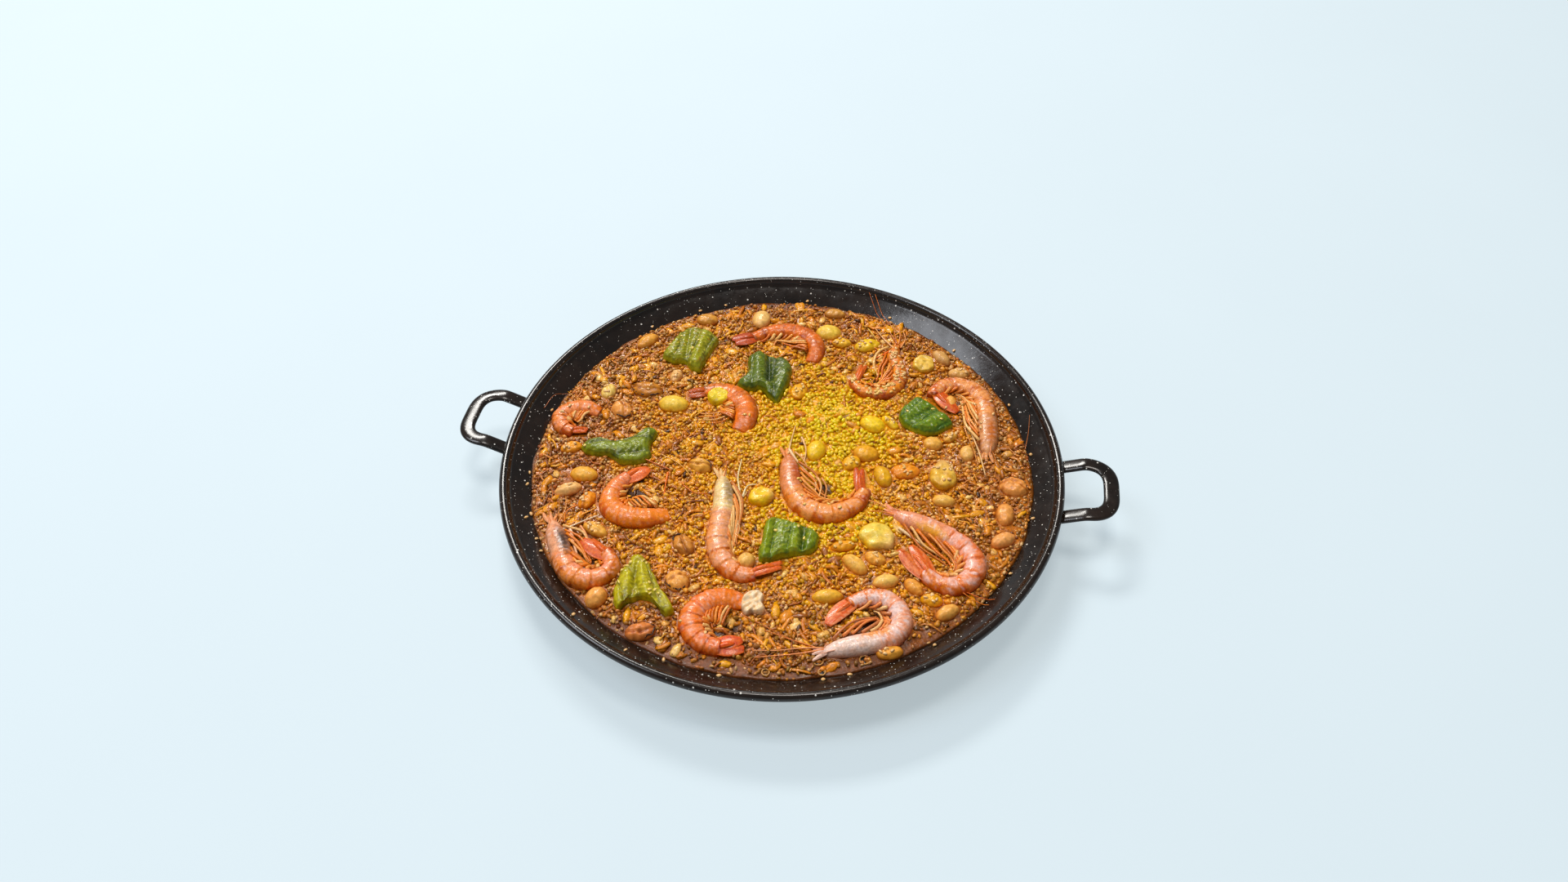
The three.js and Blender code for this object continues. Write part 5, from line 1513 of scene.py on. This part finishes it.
def camera():
    data = bpy.data.cameras.new("camera")
    data.lens, data.sensor_width = LENS, SENSOR
    data.shift_x = (PHOTO_WIDTH / 2 - RIM_CENTRE[0]) / PHOTO_WIDTH
    data.shift_y = (RIM_CENTRE[1] - PHOTO_HEIGHT / 2) / PHOTO_WIDTH
    data.clip_start, data.clip_end = 0.01, 60
    made = added("camera", data)
    made.location = CAMERA_TARGET + CAMERA_DISTANCE * Vector((0, -np.cos(CAMERA_RISE), np.sin(CAMERA_RISE)))
    aim(made, CAMERA_TARGET)
    bpy.context.scene.camera = made


def area_light(name, location, size, power, code):
    data = bpy.data.lights.new(name, "AREA")
    data.shape, data.energy, data.color = "RECTANGLE", power, rgb(code)
    data.size, data.size_y = size
    made = added(name, data)
    made.location = location
    aim(made, LIGHT_TARGET)


def floor_mesh(around=96):
    """A round floor whose far edge curves up."""
    edge = np.array(FLOOR_EDGE, float)
    points = polar(edge[:, :1], circle(around), edge[:, 1:]).reshape(-1, 3)
    faces = [list(range(around))] + quads(len(edge), around)[:, ::-1].tolist()
    mesh = bpy.data.meshes.new("floor")
    mesh.from_pydata(points.tolist(), [], faces)
    mesh.polygons.foreach_set("use_smooth", [False] + [True] * (len(faces) - 1))
    mesh.materials.append(floor_material())
    return mesh


def studio():
    world = bpy.data.worlds.new("world")
    bpy.context.scene.world = world
    world.use_nodes = True
    background = world.node_tree.nodes["Background"].inputs
    background["Color"].default_value = rgba(WORLD_COLOUR)
    background["Strength"].default_value = WORLD_STRENGTH
    for name, light in LIGHTS.items():
        area_light(name, *light)
    bpy.context.scene.view_settings.view_transform = "Standard"
    floor = added("floor", floor_mesh())
    floor.location.z = -FLOOR_DROP


# ---- the whole --------------------------------------------------------------------------------
def pan_pieces():
    enamel = enamel_material()
    pan_shape().piece("pan_shell", enamel, "enamel", "pan")
    handle_shape(HANDLE_TURN).piece("handle_right_strap", enamel, "enamel", "handle_right")
    handle_shape(HANDLE_TURN + 180).piece("handle_left_strap", enamel, "enamel", "handle_left")


def topping_pieces(toppings):
    """All that lies on the rice, and the grains on it."""
    skin_wet, pepper_wet, soft = (wet_material(name) for name in ("prawn_skin", "pepper_skin", "soft_food"))
    for k, row in enumerate(PRAWNS):
        prawn, node = Prawn(**row), f"prawn_{k + 1}"
        shape = prawn_shape(prawn, 100 + k)
        toppings.over(node, shape, prawn.outline(), 600 + k)
        shape.piece(f"{node}_whole", skin_wet, "prawn", node)
    feelers_shape().piece("prawn_feelers", skin_wet, "prawn")
    for k, row in enumerate(PEPPERS):
        (shape, outline), node = pepper_shape(row, 200 + 10 * k), f"pepper_{k + 1}"
        toppings.over(node, shape, outline[::3], 640 + k, seeds=0.8)
        shape.piece(f"{node}_skin", pepper_wet, "pepper", node)

    kinds = (("bean", BEANS, bean_shape, "bean"), ("mussel", MUSSELS, mussel_shape, "mussel"),
             ("slice", SLICES, slice_shape, "vegetable_slice"),
             ("chunk", CHUNKS, chunk_shape, "vegetable_chunk"))
    for kind, rows, make, slot in kinds:
        for k, row in enumerate(rows):
            shape, oval, node = Shape(), Oval(*row), f"{kind}_{k + 1}"
            make(shape, oval, 300 + 10 * k)
            toppings.over(node, shape, oval.outline[::2], 680 + k)
            shape.piece(f"{node}_soft", soft, slot, node)
    half, flesh = Shape(), Shape()
    for k, row in enumerate(HALF_COVERED):
        oval = Oval(*row)
        bean_shape(half, oval, 500 + k, rough=0.6)
        toppings.over("half", half, oval.outline[::2], 800 + k)
    half.piece("half_covered_pieces", soft, "bean")
    toppings.outlines.append(flesh_shape(flesh))
    flesh.piece("prawn_11_flesh", soft, "prawn")


def rice_pieces(toppings):
    """The rice, and the scraps among it, which take the places of grains."""
    core_shape().piece("rice_core", wet_material("rice_bed"), "rice", "rice")
    cover, scrap_wet, grain_wet = Cover(), wet_material("scrap_skin"), wet_material("rice_skin")
    scrap_pieces(toppings.outlines, cover, scrap_wet)
    strand_pieces(toppings.outlines, scrap_wet)
    crumbs_piece(toppings.outlines, cover, scrap_wet)
    bubbles_piece(scrap_wet)
    grain_pieces(toppings.outlines, cover, grain_wet)
    toppings.on_wall()
    toppings.piece(grain_wet)


camera()
studio()
pan_pieces()
on_rice = Toppings()
topping_pieces(on_rice)
rice_pieces(on_rice)
